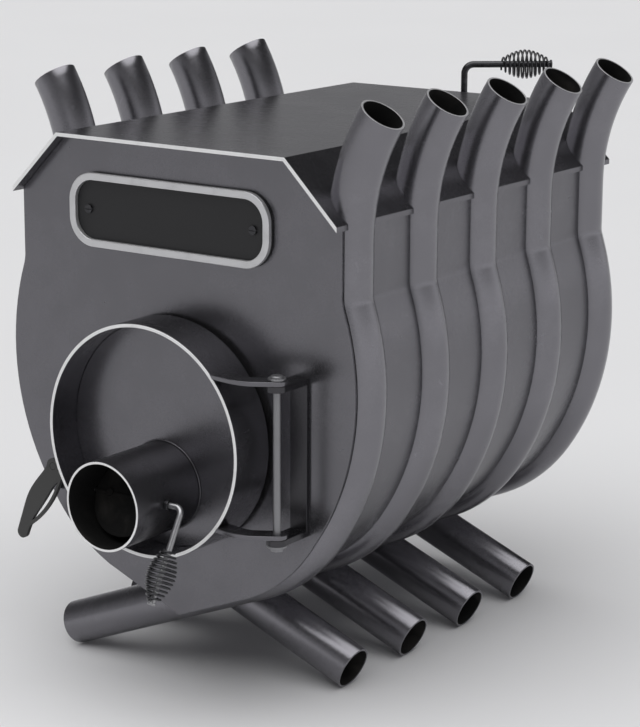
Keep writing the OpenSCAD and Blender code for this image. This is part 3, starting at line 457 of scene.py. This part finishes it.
def smooth(piece, angle=35):
    """Smooth shading that keeps edges over an angle, with flat faces kept flat."""
    only(piece)
    bpy.ops.object.shade_smooth_by_angle(angle=math.radians(angle))
    modify(piece, "WEIGHTED_NORMAL", keep_sharp=True, weight=60)


def rounded(piece, width, segments=2, angle=30):
    """Rounds every edge over an angle, then smooths."""
    modify(piece, "BEVEL", width=width, segments=segments, limit_method="ANGLE",
           angle_limit=math.radians(angle), use_clamp_overlap=True)
    smooth(piece, 50)


def tube(name, start, axis, length, radius, wall, rounding, sides=128):
    """A straight tube from start along axis."""
    deselect()
    axis = Vector(axis).normalized()
    bpy.ops.mesh.primitive_cylinder_add(
        vertices=sides, radius=radius, depth=length, end_fill_type="NOTHING",
        location=Vector(start) + axis * length / 2, rotation=turned_to(axis))
    piece = new_piece(name)
    modify(piece, "SOLIDIFY", thickness=wall, offset=-1.0, use_even_offset=True)
    rounded(piece, rounding)
    return piece


def bar(name, start, axis, length, radius, rounding, sides=64, segments=3):
    """A round bar or disc from start along axis, with rounded rims."""
    deselect()
    axis = Vector(axis).normalized()
    bpy.ops.mesh.primitive_cylinder_add(
        vertices=sides, radius=radius, depth=length,
        location=Vector(start) + axis * length / 2, rotation=turned_to(axis))
    piece = new_piece(name)
    rounded(piece, rounding, segments)
    return piece


def joined(name, pieces):
    """Makes one piece of several."""
    only(pieces[0])
    for piece in pieces[1:]:
        piece.select_set(True)
    if len(pieces) > 1:
        bpy.ops.object.join()
    pieces[0].name = name
    pieces[0].data.name = name
    return pieces[0]


def swept(name, points, radius, resolution):
    """A round wire along a line of points, with 4 + 2 * resolution sides."""
    curve = bpy.data.curves.new(name, "CURVE")
    curve.dimensions = "3D"
    curve.bevel_depth = radius
    curve.bevel_resolution = resolution
    curve.use_fill_caps = True
    line = curve.splines.new("POLY")
    line.points.add(len(points) - 1)
    for point, place in zip(line.points, points):
        point.co = (*place, 1.0)
    wire = bpy.data.objects.new(name, curve)
    bpy.context.scene.collection.objects.link(wire)
    only(wire)
    bpy.ops.object.convert(target="MESH")
    piece = bpy.context.object
    piece.name = name
    piece.data.name = name
    only(piece)
    bpy.ops.object.mode_set(mode="EDIT")
    bpy.ops.mesh.select_all(action="SELECT")
    bpy.ops.mesh.remove_doubles(threshold=MERGE)
    bpy.ops.mesh.normals_make_consistent(inside=False)
    bpy.ops.object.mode_set(mode="OBJECT")
    bpy.ops.object.shade_smooth_by_angle(angle=math.radians(60))
    return piece


def dressed(node, name, rounding, segments=2):
    """A piece in its node's own form, merged into clean faces, with rounded edges if asked for."""
    source = frame["nodes"][node]
    piece = bpy.data.objects.new(name, source.data.copy())
    bpy.context.scene.collection.objects.link(piece)
    piece.data.materials.clear()
    only(piece)
    bpy.ops.object.mode_set(mode="EDIT")
    bpy.ops.mesh.select_all(action="SELECT")
    bpy.ops.mesh.remove_doubles(threshold=2 * MERGE)
    bpy.ops.mesh.dissolve_limited(angle_limit=math.radians(0.4))
    bpy.ops.object.mode_set(mode="OBJECT")
    if rounding:
        rounded(piece, rounding, segments)
    else:
        smooth(piece)
    return piece


def paint_faces(piece, base, extra, chosen):
    """Gives a piece its finish, and the faces that chosen accepts another one."""
    piece.data.materials.clear()
    piece.data.materials.append(finish_of(base))
    piece.data.materials.append(finish_of(extra))
    for face in piece.data.polygons:
        face.material_index = 1 if chosen(face) else 0


def fit(piece, body, slot, finish, *nodes):
    """Puts a piece on its body, gives it a finish if one is named, and hides what it stands for. The
    slot is not used.
    """
    if finish:
        piece.data.materials.clear()
        piece.data.materials.append(finish_of(finish))
    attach(piece, body)
    if nodes:
        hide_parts(*nodes)


def looking_at(place, least):
    """Accepts faces that look at the line along Y through a place."""

    def accept(face):
        away = face.center - place
        away.y = 0
        return face.normal.dot(away.normalized()) < -least

    return accept


def blacken_bore(piece, centre):
    """Gives the inside of a tube along Y the sooted finish: real sooting in the flue spigot, painted
    shade in the air tube.
    """
    inside = looking_at(centre, BORE)
    piece.data.materials.append(finish_of("soot"))
    for face in piece.data.polygons:
        if inside(face):
            face.material_index = len(piece.data.materials) - 1


def short_of(place, axis, reach):
    """Accepts faces that lie less far along an axis than a reach from a place."""

    def accept(face):
        return (face.center - place).dot(axis) < reach

    return accept


def facing(axis, least, beyond=None):
    """Accepts faces that look along an axis, from a place along it on."""
    axis = Vector(axis).normalized()

    def accept(face):
        far_enough = beyond is None or face.center.dot(axis) > beyond
        return face.normal.dot(axis) > least and far_enough

    return accept


# Pieces


def towards(angle):
    """Unit vector of a heading in the XZ plane, 0 to the right and a quarter up."""
    return Vector((math.cos(angle), 0, math.sin(angle)))


class STOVE_OT_pipes(bpy.types.Operator):
    """Bends one convection pipe and copies it down both sides"""

    bl_idname = "stove.pipes"
    bl_label = "Convection Pipes"
    bl_options = {"REGISTER", "UNDO"}

    def execute(self, context):
        sizes = context.scene.stove_sizes
        pipe = self.bent(sizes)
        # The pipe's finishes: paint lightened as painted light, the sooted finish, and a rim lightened
        # as a painted highlight.
        for finish in ("pipe_paint", "soot", "pipe_rim"):
            pipe.data.materials.append(finish_of(finish))
        # The inner shell takes the sooted finish: painted shade inside the pipe.
        modify(pipe, "SOLIDIFY", thickness=sizes.pipe_wall, offset=-1.0, material_offset=1)
        rounded(pipe, sizes.rounding, angle=60)
        self.paint(pipe, sizes, towards(self.heading))
        for node in RIGHT_PIPES + LEFT_PIPES:
            copy = bpy.data.objects.new("air_" + node, pipe.data.copy())
            bpy.context.scene.collection.objects.link(copy)
            if node in LEFT_PIPES:
                copy.data.transform(Matrix.Scale(-1, 4, X_AXIS))
                copy.data.flip_normals()
            copy.data.transform(Matrix.Translation(Y_AXIS * middle(node).y))
            fit(copy, "stove", "pipe_steel", None, node)
        bpy.data.objects.remove(pipe)
        return {"FINISHED"}

    def bent(self, sizes):
        """The skin of a right pipe in the XZ plane, from its inlet to its outlet."""
        mouth = QUARTER - sizes.flare_angle
        lean = QUARTER + sizes.waist_angle
        leg = (sizes.neck_reach + sizes.inlet_reach
               - sizes.lower_bend * (math.sin(sizes.belly_angle) - math.sin(sizes.leg_angle))
               - sizes.belly_bend * (math.sin(lean) - math.sin(sizes.belly_angle))
               + sizes.waist_bend * (1 - math.sin(lean))) / math.cos(sizes.leg_angle)
        inlet = Vector((-sizes.inlet_reach, 0, sizes.pipe_radius * math.cos(sizes.leg_angle)))
        deselect()
        bpy.ops.mesh.primitive_circle_add(
            vertices=72, radius=sizes.pipe_radius, fill_type="NOTHING", location=inlet,
            rotation=(0, QUARTER - sizes.leg_angle, 0))
        pipe = new_piece("air_pipe")
        self.place, self.heading, self.centres = inlet, sizes.leg_angle, []
        bpy.ops.object.mode_set(mode="EDIT")
        bpy.ops.mesh.select_all(action="SELECT")
        self.run(leg)
        self.bend(sizes.lower_bend, sizes.belly_angle, LOWER_STEPS)
        self.bend(sizes.belly_bend, lean, BELLY_STEPS)
        self.bend(sizes.waist_bend, QUARTER, WAIST_STEPS)
        self.run(sizes.neck_length)
        self.bend(sizes.flare_bend, mouth, FLARE_STEPS)
        bpy.ops.mesh.select_all(action="SELECT")
        bpy.ops.mesh.remove_doubles(threshold=MERGE)
        bpy.ops.mesh.normals_make_consistent(inside=False)
        bpy.ops.object.mode_set(mode="OBJECT")
        return pipe

    def paint(self, pipe, sizes, outwards):
        """Bares the rim of the outlet, lightened as a painted highlight, and soots what is in the
        fire.
        """
        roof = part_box("roof_panel")
        for face in pipe.data.polygons:
            high_up = face.center.z > self.place.z - OUTLET_DROP
            if high_up and face.normal.dot(outwards) > RIM:
                if abs((face.center - self.place).dot(outwards)) < sizes.rounding:
                    face.material_index = 2
            elif self.indoors(face.center, sizes, *roof):
                face.material_index = 1

    def indoors(self, spot, sizes, low, high):
        """Whether a spot on the pipe's skin is behind the side plates and under the roof."""
        lower, belly, waist, _ = self.centres
        if spot.z > waist.z:
            return (spot.x < sizes.neck_reach + sizes.plate_seat
                    and spot.z - low.z < high.x - spot.x - sizes.pipe_radius / 2)
        if spot.z > belly.z - sizes.belly_bend * math.cos(sizes.belly_angle):
            away = Vector((spot.x - belly.x, 0, spot.z - belly.z))
            return away.length < sizes.belly_bend + sizes.plate_seat
        away = Vector((spot.x - lower.x, 0, spot.z - lower.z))
        past_leg = max(0, away.dot(towards(sizes.leg_angle)))
        under = away.dot(towards(sizes.leg_angle + QUARTER))
        return spot.x > 0 and math.hypot(past_leg, under) < sizes.lower_bend + sizes.plate_seat

    def run(self, length):
        """A straight run from the selected ring on."""
        step = towards(self.heading) * length
        bpy.ops.mesh.extrude_edges_move(TRANSFORM_OT_translate={"value": step})
        self.place = self.place + step

    def bend(self, radius, to, steps):
        """A bend from the selected ring on to another heading."""
        turn = 1 if to > self.heading else -1
        centre = self.place + towards(self.heading + turn * QUARTER) * radius
        self.centres.append(centre)
        bpy.ops.mesh.spin(
            steps=steps, angle=abs(to - self.heading), center=centre,
            axis=(0, turn, 0), use_auto_merge=False, use_normal_flip=False)
        self.place = centre - towards(to + turn * QUARTER) * radius
        self.heading = to


class STOVE_OT_shell(bpy.types.Operator):
    """Cuts the panels, the side plates and the folded roof"""

    bl_idname = "stove.shell"
    bl_label = "Shell Plates"
    bl_options = {"REGISTER", "UNDO"}

    def execute(self, context):
        sizes = context.scene.stove_sizes
        for node, inwards in (("front_panel", Y_AXIS), ("rear_panel", -Y_AXIS)):
            panel = dressed(node, node.replace("panel", "plate"), sizes.rounding)
            paint_faces(panel, "stove_paint", "soot", facing(inwards, FLAT))
            fit(panel, "stove", "dark_steel", None, node)
        for node in SIDE_PLATES:
            plate = dressed(node, node.replace("side", "curved"), 0)
            paint_faces(plate, "stove_paint", "soot", looking_at(middle("door_ring"), RIM))
            fit(plate, "stove", "dark_steel", None, node)
        roof = dressed("roof_panel", "folded_roof", sizes.rounding)
        # The roof's front-facing edges: bare cut steel with a painted highlight.
        paint_faces(roof, "stove_paint", "cut_rim", facing(-Y_AXIS, FLAT))
        fit(roof, "stove", "dark_steel", None, "roof_panel")
        return {"FINISHED"}


class STOVE_OT_chambers(bpy.types.Operator):
    """Makes the baffle, its rails, the injectors, the ash lip and the collar"""

    bl_idname = "stove.chambers"
    bl_label = "Fire Chambers"
    bl_options = {"REGISTER", "UNDO"}

    def execute(self, context):
        sizes = context.scene.stove_sizes
        for node in ("baffle_plate", "baffle_rails", "injector_tubes", "ash_lip"):
            fit(dressed(node, node + "_sooted", sizes.rounding), "stove", "inner_steel", "soot", node)
        low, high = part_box("door_collar")
        centre = middle("door_collar")
        collar = tube("mouth_collar", (0, low.y, centre.z), Y_AXIS, high.y - low.y,
                      (high.z - low.z) / 2, sizes.collar_wall, sizes.rounding)
        fit(collar, "stove", "dark_steel", "soot", "door_collar")
        return {"FINISHED"}


class STOVE_OT_door(bpy.types.Operator):
    """Makes the door ring with its disc, seal and heat shield"""

    bl_idname = "stove.door"
    bl_label = "Door"
    bl_options = {"REGISTER", "UNDO"}

    def execute(self, context):
        sizes = context.scene.stove_sizes
        low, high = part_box("door_ring")
        centre = middle("door_ring")
        ring = tube("door_drum", (0, low.y, centre.z), Y_AXIS, high.y - low.y,
                    (high.x - low.x) / 2, sizes.door_wall, sizes.weld_rounding, sides=192)
        # The ring's front rim: bare cut steel with a painted highlight.
        paint_faces(ring, "stove_paint", "cut_rim", facing(-Y_AXIS, RIM, -low.y - RIM_DEPTH))
        fit(ring, "door", "dark_steel", None, "door_ring")
        disc = dressed("door_plate", "door_disc", sizes.rounding)
        paint_faces(disc, "stove_paint", "soot", facing(Y_AXIS, FLAT))
        fit(disc, "door", "dark_steel", None, "door_plate")
        self.rope(sizes)
        self.retainer(sizes)
        self.shield(sizes)
        return {"FINISHED"}

    def rope(self, sizes):
        """Strands twisted round the ring that the collar presses on."""
        low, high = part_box("door_rope")
        centre = middle("door_rope")
        thick = (high.y - low.y) / 2
        strand = thick * STRAND_SHARE
        lay = thick - strand
        ring = (high.x - low.x) / 2 - thick
        strands = []
        steps = sizes.rope_twists * TWIST_STEPS
        for first in range(sizes.rope_strands):
            start = math.tau * first / sizes.rope_strands
            points = []
            for i in range(steps + 1):
                round_ring = math.tau * i / steps
                twist = start + round_ring * sizes.rope_twists
                reach = ring + lay * math.cos(twist)
                points.append(Vector((reach * math.cos(round_ring), centre.y + lay * math.sin(twist),
                                      centre.z + reach * math.sin(round_ring))))
            strands.append(swept("strand", points, strand, resolution=1))
        fit(joined("sealing_rope", strands), "door", "rope", "glass_rope", "door_rope")

    def retainer(self, sizes):
        """The ring that holds the rope."""
        low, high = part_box("rope_retainer")
        centre = middle("rope_retainer")
        piece = tube("rope_keeper_ring", (0, low.y, centre.z), Y_AXIS, high.y - low.y,
                     (high.x - low.x) / 2, sizes.retainer_wall, sizes.rounding)
        fit(piece, "door", "inner_steel", "soot", "rope_retainer")

    def shield(self, sizes):
        """The heat shield on its bolts."""
        fit(dressed("door_shield", "heat_shield", sizes.rounding), "door", "inner_steel",
            "soot", "door_shield")
        fit(dressed("shield_bolts", "heat_shield_bolts", sizes.rounding), "door", "bare_steel",
            "bare_steel", "shield_bolts")


class STOVE_OT_air_tube(bpy.types.Operator):
    """Makes the air tube with its weld ring and bushes"""

    bl_idname = "stove.air_tube"
    bl_label = "Air Tube"
    bl_options = {"REGISTER", "UNDO"}

    def execute(self, context):
        sizes = context.scene.stove_sizes
        snout = dressed("air_tube", "air_snout", sizes.mouth_rounding)
        low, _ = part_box("air_tube")
        # The snout's front rim: bare cut steel with a painted highlight.
        paint_faces(snout, "stove_paint", "cut_rim", facing(-Y_AXIS, RIM, -low.y - RIM_DEPTH))
        # The air tube's bore is blackened as painted shade.
        blacken_bore(snout, middle("air_tube"))
        fit(snout, "door", "dark_steel", None, "air_tube")
        weld = dressed("air_tube_flange", "snout_weld_ring", sizes.weld_rounding, segments=3)
        fit(weld, "door", "dark_steel", "stove_paint", "air_tube_flange")
        fit(dressed("air_damper_bushes", "air_shaft_bushes", sizes.rounding), "door",
            "bare_steel", "black_iron", "air_damper_bushes")
        return {"FINISHED"}


class STOVE_OT_flue(bpy.types.Operator):
    """Makes the flue spigot and its bushes"""

    bl_idname = "stove.flue"
    bl_label = "Flue"
    bl_options = {"REGISTER", "UNDO"}

    def execute(self, context):
        sizes = context.scene.stove_sizes
        spigot = dressed("flue_spigot", "flue_collar", sizes.mouth_rounding)
        _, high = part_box("flue_spigot")
        # The spigot's back rim: bare cut steel with a painted highlight.
        paint_faces(spigot, "stove_paint", "cut_rim", facing(Y_AXIS, RIM, high.y - RIM_DEPTH))
        blacken_bore(spigot, middle("flue_spigot"))
        fit(spigot, "stove", "dark_steel", None, "flue_spigot")
        fit(dressed("flue_damper_bushes", "flue_shaft_bushes", sizes.rounding), "stove",
            "bare_steel", "black_iron", "flue_damper_bushes")
        return {"FINISHED"}


class STOVE_OT_dampers(bpy.types.Operator):
    """Makes both dampers: shaft, bent handle, end cap, disc, screws and wound grip"""

    bl_idname = "stove.dampers"
    bl_label = "Dampers"
    bl_options = {"REGISTER", "UNDO"}

    def execute(self, context):
        sizes = context.scene.stove_sizes
        air, flue = sizes.air_lean, sizes.flue_lean
        self.damper(sizes, "air", X_AXIS, Vector((0, -math.sin(air), -math.cos(air))))
        self.damper(sizes, "flue", Z_AXIS, Vector((math.cos(flue), math.sin(flue), 0)))
        return {"FINISHED"}

    def damper(self, sizes, name, shaft, handle):
        """One damper, with the sooted finish on what lies inside the bore: real sooting in the flue,
        painted shade in the air tube. shaft and handle are the ways that these point.
        """
        bore, rod, cap, bend, reach = (
            getattr(sizes, f"{name}_{part}") for part in ("bore", "rod", "cap", "bend", "handle"))
        body = name + "_damper"
        place = joint_place(body)
        low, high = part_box(body + "_shaft")
        foot = (low - place).dot(shaft)
        elbow = (high - place).dot(shaft) - cap
        line = [place + shaft * foot, place + shaft * bore, place + shaft * (elbow - bend)]
        for step in range(1, ROD_STEPS + 1):
            turn = QUARTER * step / ROD_STEPS
            line.append(place + shaft * (elbow - bend + bend * math.sin(turn))
                        + handle * bend * (1 - math.cos(turn)))
        line.append(place + shaft * elbow + handle * (reach - sizes.cap / 2))
        end = bar("cap", line[-1] - handle * sizes.cap / 2, handle, sizes.cap, cap,
                  sizes.forged_rounding, sides=48)
        bent = swept(body + "_rod", line, rod, resolution=6)
        piece = joined(body + "_handle", [bent, end])
        paint_faces(piece, "rod_steel" if name == "air" else "black_iron", "soot",
                    short_of(place, shaft, bore))
        fit(piece, body, "black_steel", None, body + "_shaft")
        self.grip(sizes, name, place + shaft * elbow, handle, shaft)
        fit(dressed(body + "_disc", body + "_flap", sizes.rounding), body, "black_steel",
            "soot", body + "_disc")
        fit(dressed(body + "_screws", body + "_flap_screws", sizes.screw_rounding), body,
            "bare_steel", "soot", body + "_screws")

    def grip(self, sizes, name, origin, handle, shaft):
        """Wire wound into a barrel round the handle, against the end cap."""
        rod, reach, grip, curls = (
            getattr(sizes, f"{name}_{part}") for part in ("rod", "handle", "grip", "curls"))
        wire = sizes.wire_radius
        start = reach - sizes.cap - grip
        length = grip - 2 * wire
        low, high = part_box(name + "_grip_coil")
        across = shaft.cross(handle).normalized()
        seat = rod + sizes.wire_gap
        root = seat + 2 * wire
        belly = (high - low).dot(shaft) / 2 - wire
        turns = curls * CURL_STEPS
        points = [origin + handle * start - shaft * seat]
        for i in range(turns + 1):
            t = i / turns
            angle = math.tau * curls * t
            out = root + (belly - root) * math.sin(math.pi * t)
            points.append(origin + handle * (start + length * t)
                          - shaft * out * math.cos(angle) + across * out * math.sin(angle))
        points.append(origin + handle * (start + length) - shaft * seat)
        coil = swept(name + "_damper_coil", points, wire, resolution=3)
        fit(coil, name + "_damper", "black_steel", "black_iron", name + "_grip_coil")


class STOVE_OT_hinge(bpy.types.Operator):
    """Makes the hinge bracket, the pin with its domed head, the nut and the arms"""

    bl_idname = "stove.hinge"
    bl_label = "Hinge"
    bl_options = {"REGISTER", "UNDO"}

    def execute(self, context):
        sizes = context.scene.stove_sizes
        forged = sizes.forged_rounding
        # The bracket's dark paint is painted shade.
        fit(dressed("hinge_bracket", "hinge_bracket_plate", forged), "stove", "dark_steel",
            "bracket_paint", "hinge_bracket")
        for node in ("hinge_arm_upper", "hinge_arm_lower"):
            fit(dressed(node, node.replace("arm", "strap"), forged), "door", "dark_steel",
                "stove_paint", node)
        self.pin(sizes)
        nut = dressed("hinge_nut", "hinge_lock_nut", sizes.mouth_rounding)
        fit(nut, "stove", "bare_steel", "pin_steel", "hinge_nut")
        return {"FINISHED"}

    def pin(self, sizes):
        """A bolt with a washer and a domed head."""
        low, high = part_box("hinge_pin")
        place = joint_place("door")
        head = (high.x - low.x) / 2
        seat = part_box("hinge_arm_upper")[1].z + sizes.washer_gap
        foot = seat + sizes.dome_sunk
        shank = bar("shank", (place.x, place.y, low.z), Z_AXIS, seat - low.z,
                    sizes.pin_radius, sizes.rounding)
        washer = bar("washer", (place.x, place.y, seat), Z_AXIS, sizes.washer, head,
                     sizes.washer_rounding)
        dome = bar("dome", (place.x, place.y, foot), Z_AXIS, high.z - foot, head * DOME_SHARE,
                   sizes.dome_rounding, segments=6)
        fit(joined("hinge_bolt", [shank, washer, dome]), "stove", "pin_steel", "pin_steel",
            "hinge_pin")


class STOVE_OT_latch(bpy.types.Operator):
    """Makes the latch's lug, shaft, handle, finger and keeper"""

    bl_idname = "stove.latch"
    bl_label = "Latch"
    bl_options = {"REGISTER", "UNDO"}

    def execute(self, context):
        sizes = context.scene.stove_sizes
        forged = sizes.forged_rounding
        fit(dressed("latch_keeper", "latch_keeper_hook", forged), "stove", "dark_steel",
            "stove_paint", "latch_keeper")
        fit(dressed("latch_lug", "latch_bearing", forged), "door", "dark_steel", "stove_paint",
            "latch_lug")
        fit(dressed("latch_handle", "latch_leaf", sizes.leaf_rounding, segments=3), "latch",
            "black_steel", "latch_paint", "latch_handle")
        fit(dressed("latch_finger", "latch_catch", forged), "latch", "black_steel",
            "latch_paint", "latch_finger")
        fit(dressed("latch_shaft", "latch_pivot", sizes.rounding), "latch", "bare_steel",
            "latch_paint", "latch_shaft")
        return {"FINISHED"}


class STOVE_OT_nameplate(bpy.types.Operator):
    """Makes the bare nameplate, its rim and its screws"""

    bl_idname = "stove.nameplate"
    bl_label = "Nameplate"
    bl_options = {"REGISTER", "UNDO"}

    def execute(self, context):
        sizes = context.scene.stove_sizes
        fit(dressed("nameplate", "bare_plate", sizes.mouth_rounding), "stove", "black_steel",
            "plate_black", "nameplate")
        frame_piece = dressed("nameplate_rim", "plate_frame", sizes.frame_rounding, segments=3)
        fit(frame_piece, "stove", "bare_steel", "bare_steel", "nameplate_rim")
        fit(dressed("nameplate_screws", "plate_screws", sizes.rounding), "stove",
            "black_steel", "black_iron", "nameplate_screws")
        return {"FINISHED"}


class STOVE_OT_studio(bpy.types.Operator):
    """Lays the pale floor, sets the soft light and places the camera"""

    bl_idname = "stove.studio"
    bl_label = "Studio"
    bl_options = {"REGISTER", "UNDO"}

    def execute(self, context):
        deselect()
        bpy.ops.mesh.primitive_plane_add(size=FLOOR_SIDE, location=(0, 0, 0))
        floor = bpy.context.object
        floor.name = "studio_floor"
        floor.data.materials.append(finish_of("floor"))
        self.surroundings()
        deselect()
        bpy.ops.object.light_add(type="SUN")
        softbox = bpy.context.object
        softbox.name = "overhead_softbox"
        softbox.data.energy = SOFTBOX_STRENGTH
        softbox.data.angle = SOFTBOX_ANGLE
        softbox.rotation_euler = SOFTBOX_WAY.to_track_quat("-Z", "Y").to_euler()
        self.camera()
        bpy.context.scene.view_settings.view_transform = "Standard"
        return {"FINISHED"}

    def surroundings(self):
        """Grey walls, a bright screen on the right, dark above, and a pale backdrop in view."""
        world = bpy.data.worlds.new("studio")
        bpy.context.scene.world = world
        room = Finish(world)
        way = room.node("TexCoord", output="Generated")
        height = room.node("SeparateXYZ", None, {"Vector": way}, "Z")
        across = room.node("SeparateXYZ", None, {"Vector": way}, "X")
        tone = room.blend(across.above(0.15, 0.60), WALLS, SCREEN)
        tone = room.blend(height.above(0.12, 0.50), tone, CEILING)
        tone = room.blend(room.node("LightPath", output="Is Camera Ray"), tone, BACKDROP)
        light = room.node("Background", None, {"Color": tone, "Strength": 1.0})
        room.node("OutputWorld", None, {"Surface": light})

    def camera(self):
        """The photograph's camera, as fitted to its pipes, rings and plates."""
        bpy.ops.object.camera_add(location=STANDPOINT)
        camera = bpy.context.object
        turn = Euler((QUARTER - ELEVATION, 0, AZIMUTH), "XYZ").to_matrix()
        camera.rotation_euler = (turn @ Euler((0, 0, ROLL)).to_matrix()).to_euler()
        camera.data.sensor_fit = "VERTICAL"
        camera.data.sensor_height = SENSOR_HEIGHT
        camera.data.lens = FOCAL_PIXELS * SENSOR_HEIGHT / PHOTO_PIXELS
        camera.data.clip_end = CAMERA_REACH
        bpy.context.scene.camera = camera


class STOVE_PT_panel(bpy.types.Panel):
    """Lists the stove's makers, sizes and colours"""

    bl_label = "Convection Stove"
    bl_space_type = "VIEW_3D"
    bl_region_type = "UI"
    bl_category = "Stove"

    def draw(self, context):
        for maker in MAKERS:
            self.layout.operator(maker.bl_idname)
        for group in (context.scene.stove_sizes, context.scene.stove_colours):
            for name in group.bl_rna.properties.keys():
                if name not in ("rna_type", "name"):
                    self.layout.prop(group, name)


MAKERS = (
    STOVE_OT_pipes, STOVE_OT_shell, STOVE_OT_chambers, STOVE_OT_door, STOVE_OT_air_tube,
    STOVE_OT_flue, STOVE_OT_dampers, STOVE_OT_hinge, STOVE_OT_latch, STOVE_OT_nameplate,
    STOVE_OT_studio,
)
CLASSES = (StoveSizes, StoveColours, *MAKERS, STOVE_PT_panel)


def register():
    """Adds the classes and their settings."""
    for cls in CLASSES:
        bpy.utils.register_class(cls)
    bpy.types.Scene.stove_sizes = bpy.props.PointerProperty(type=StoveSizes)
    bpy.types.Scene.stove_colours = bpy.props.PointerProperty(type=StoveColours)


def unregister():
    """Takes away what register added."""
    del bpy.types.Scene.stove_colours
    del bpy.types.Scene.stove_sizes
    for cls in reversed(CLASSES):
        bpy.utils.unregister_class(cls)


def main():
    """Builds everything."""
    register()
    for maker in MAKERS:
        area, action = maker.bl_idname.split(".")
        getattr(getattr(bpy.ops, area), action)()


if __name__ == "__main__":
    main()
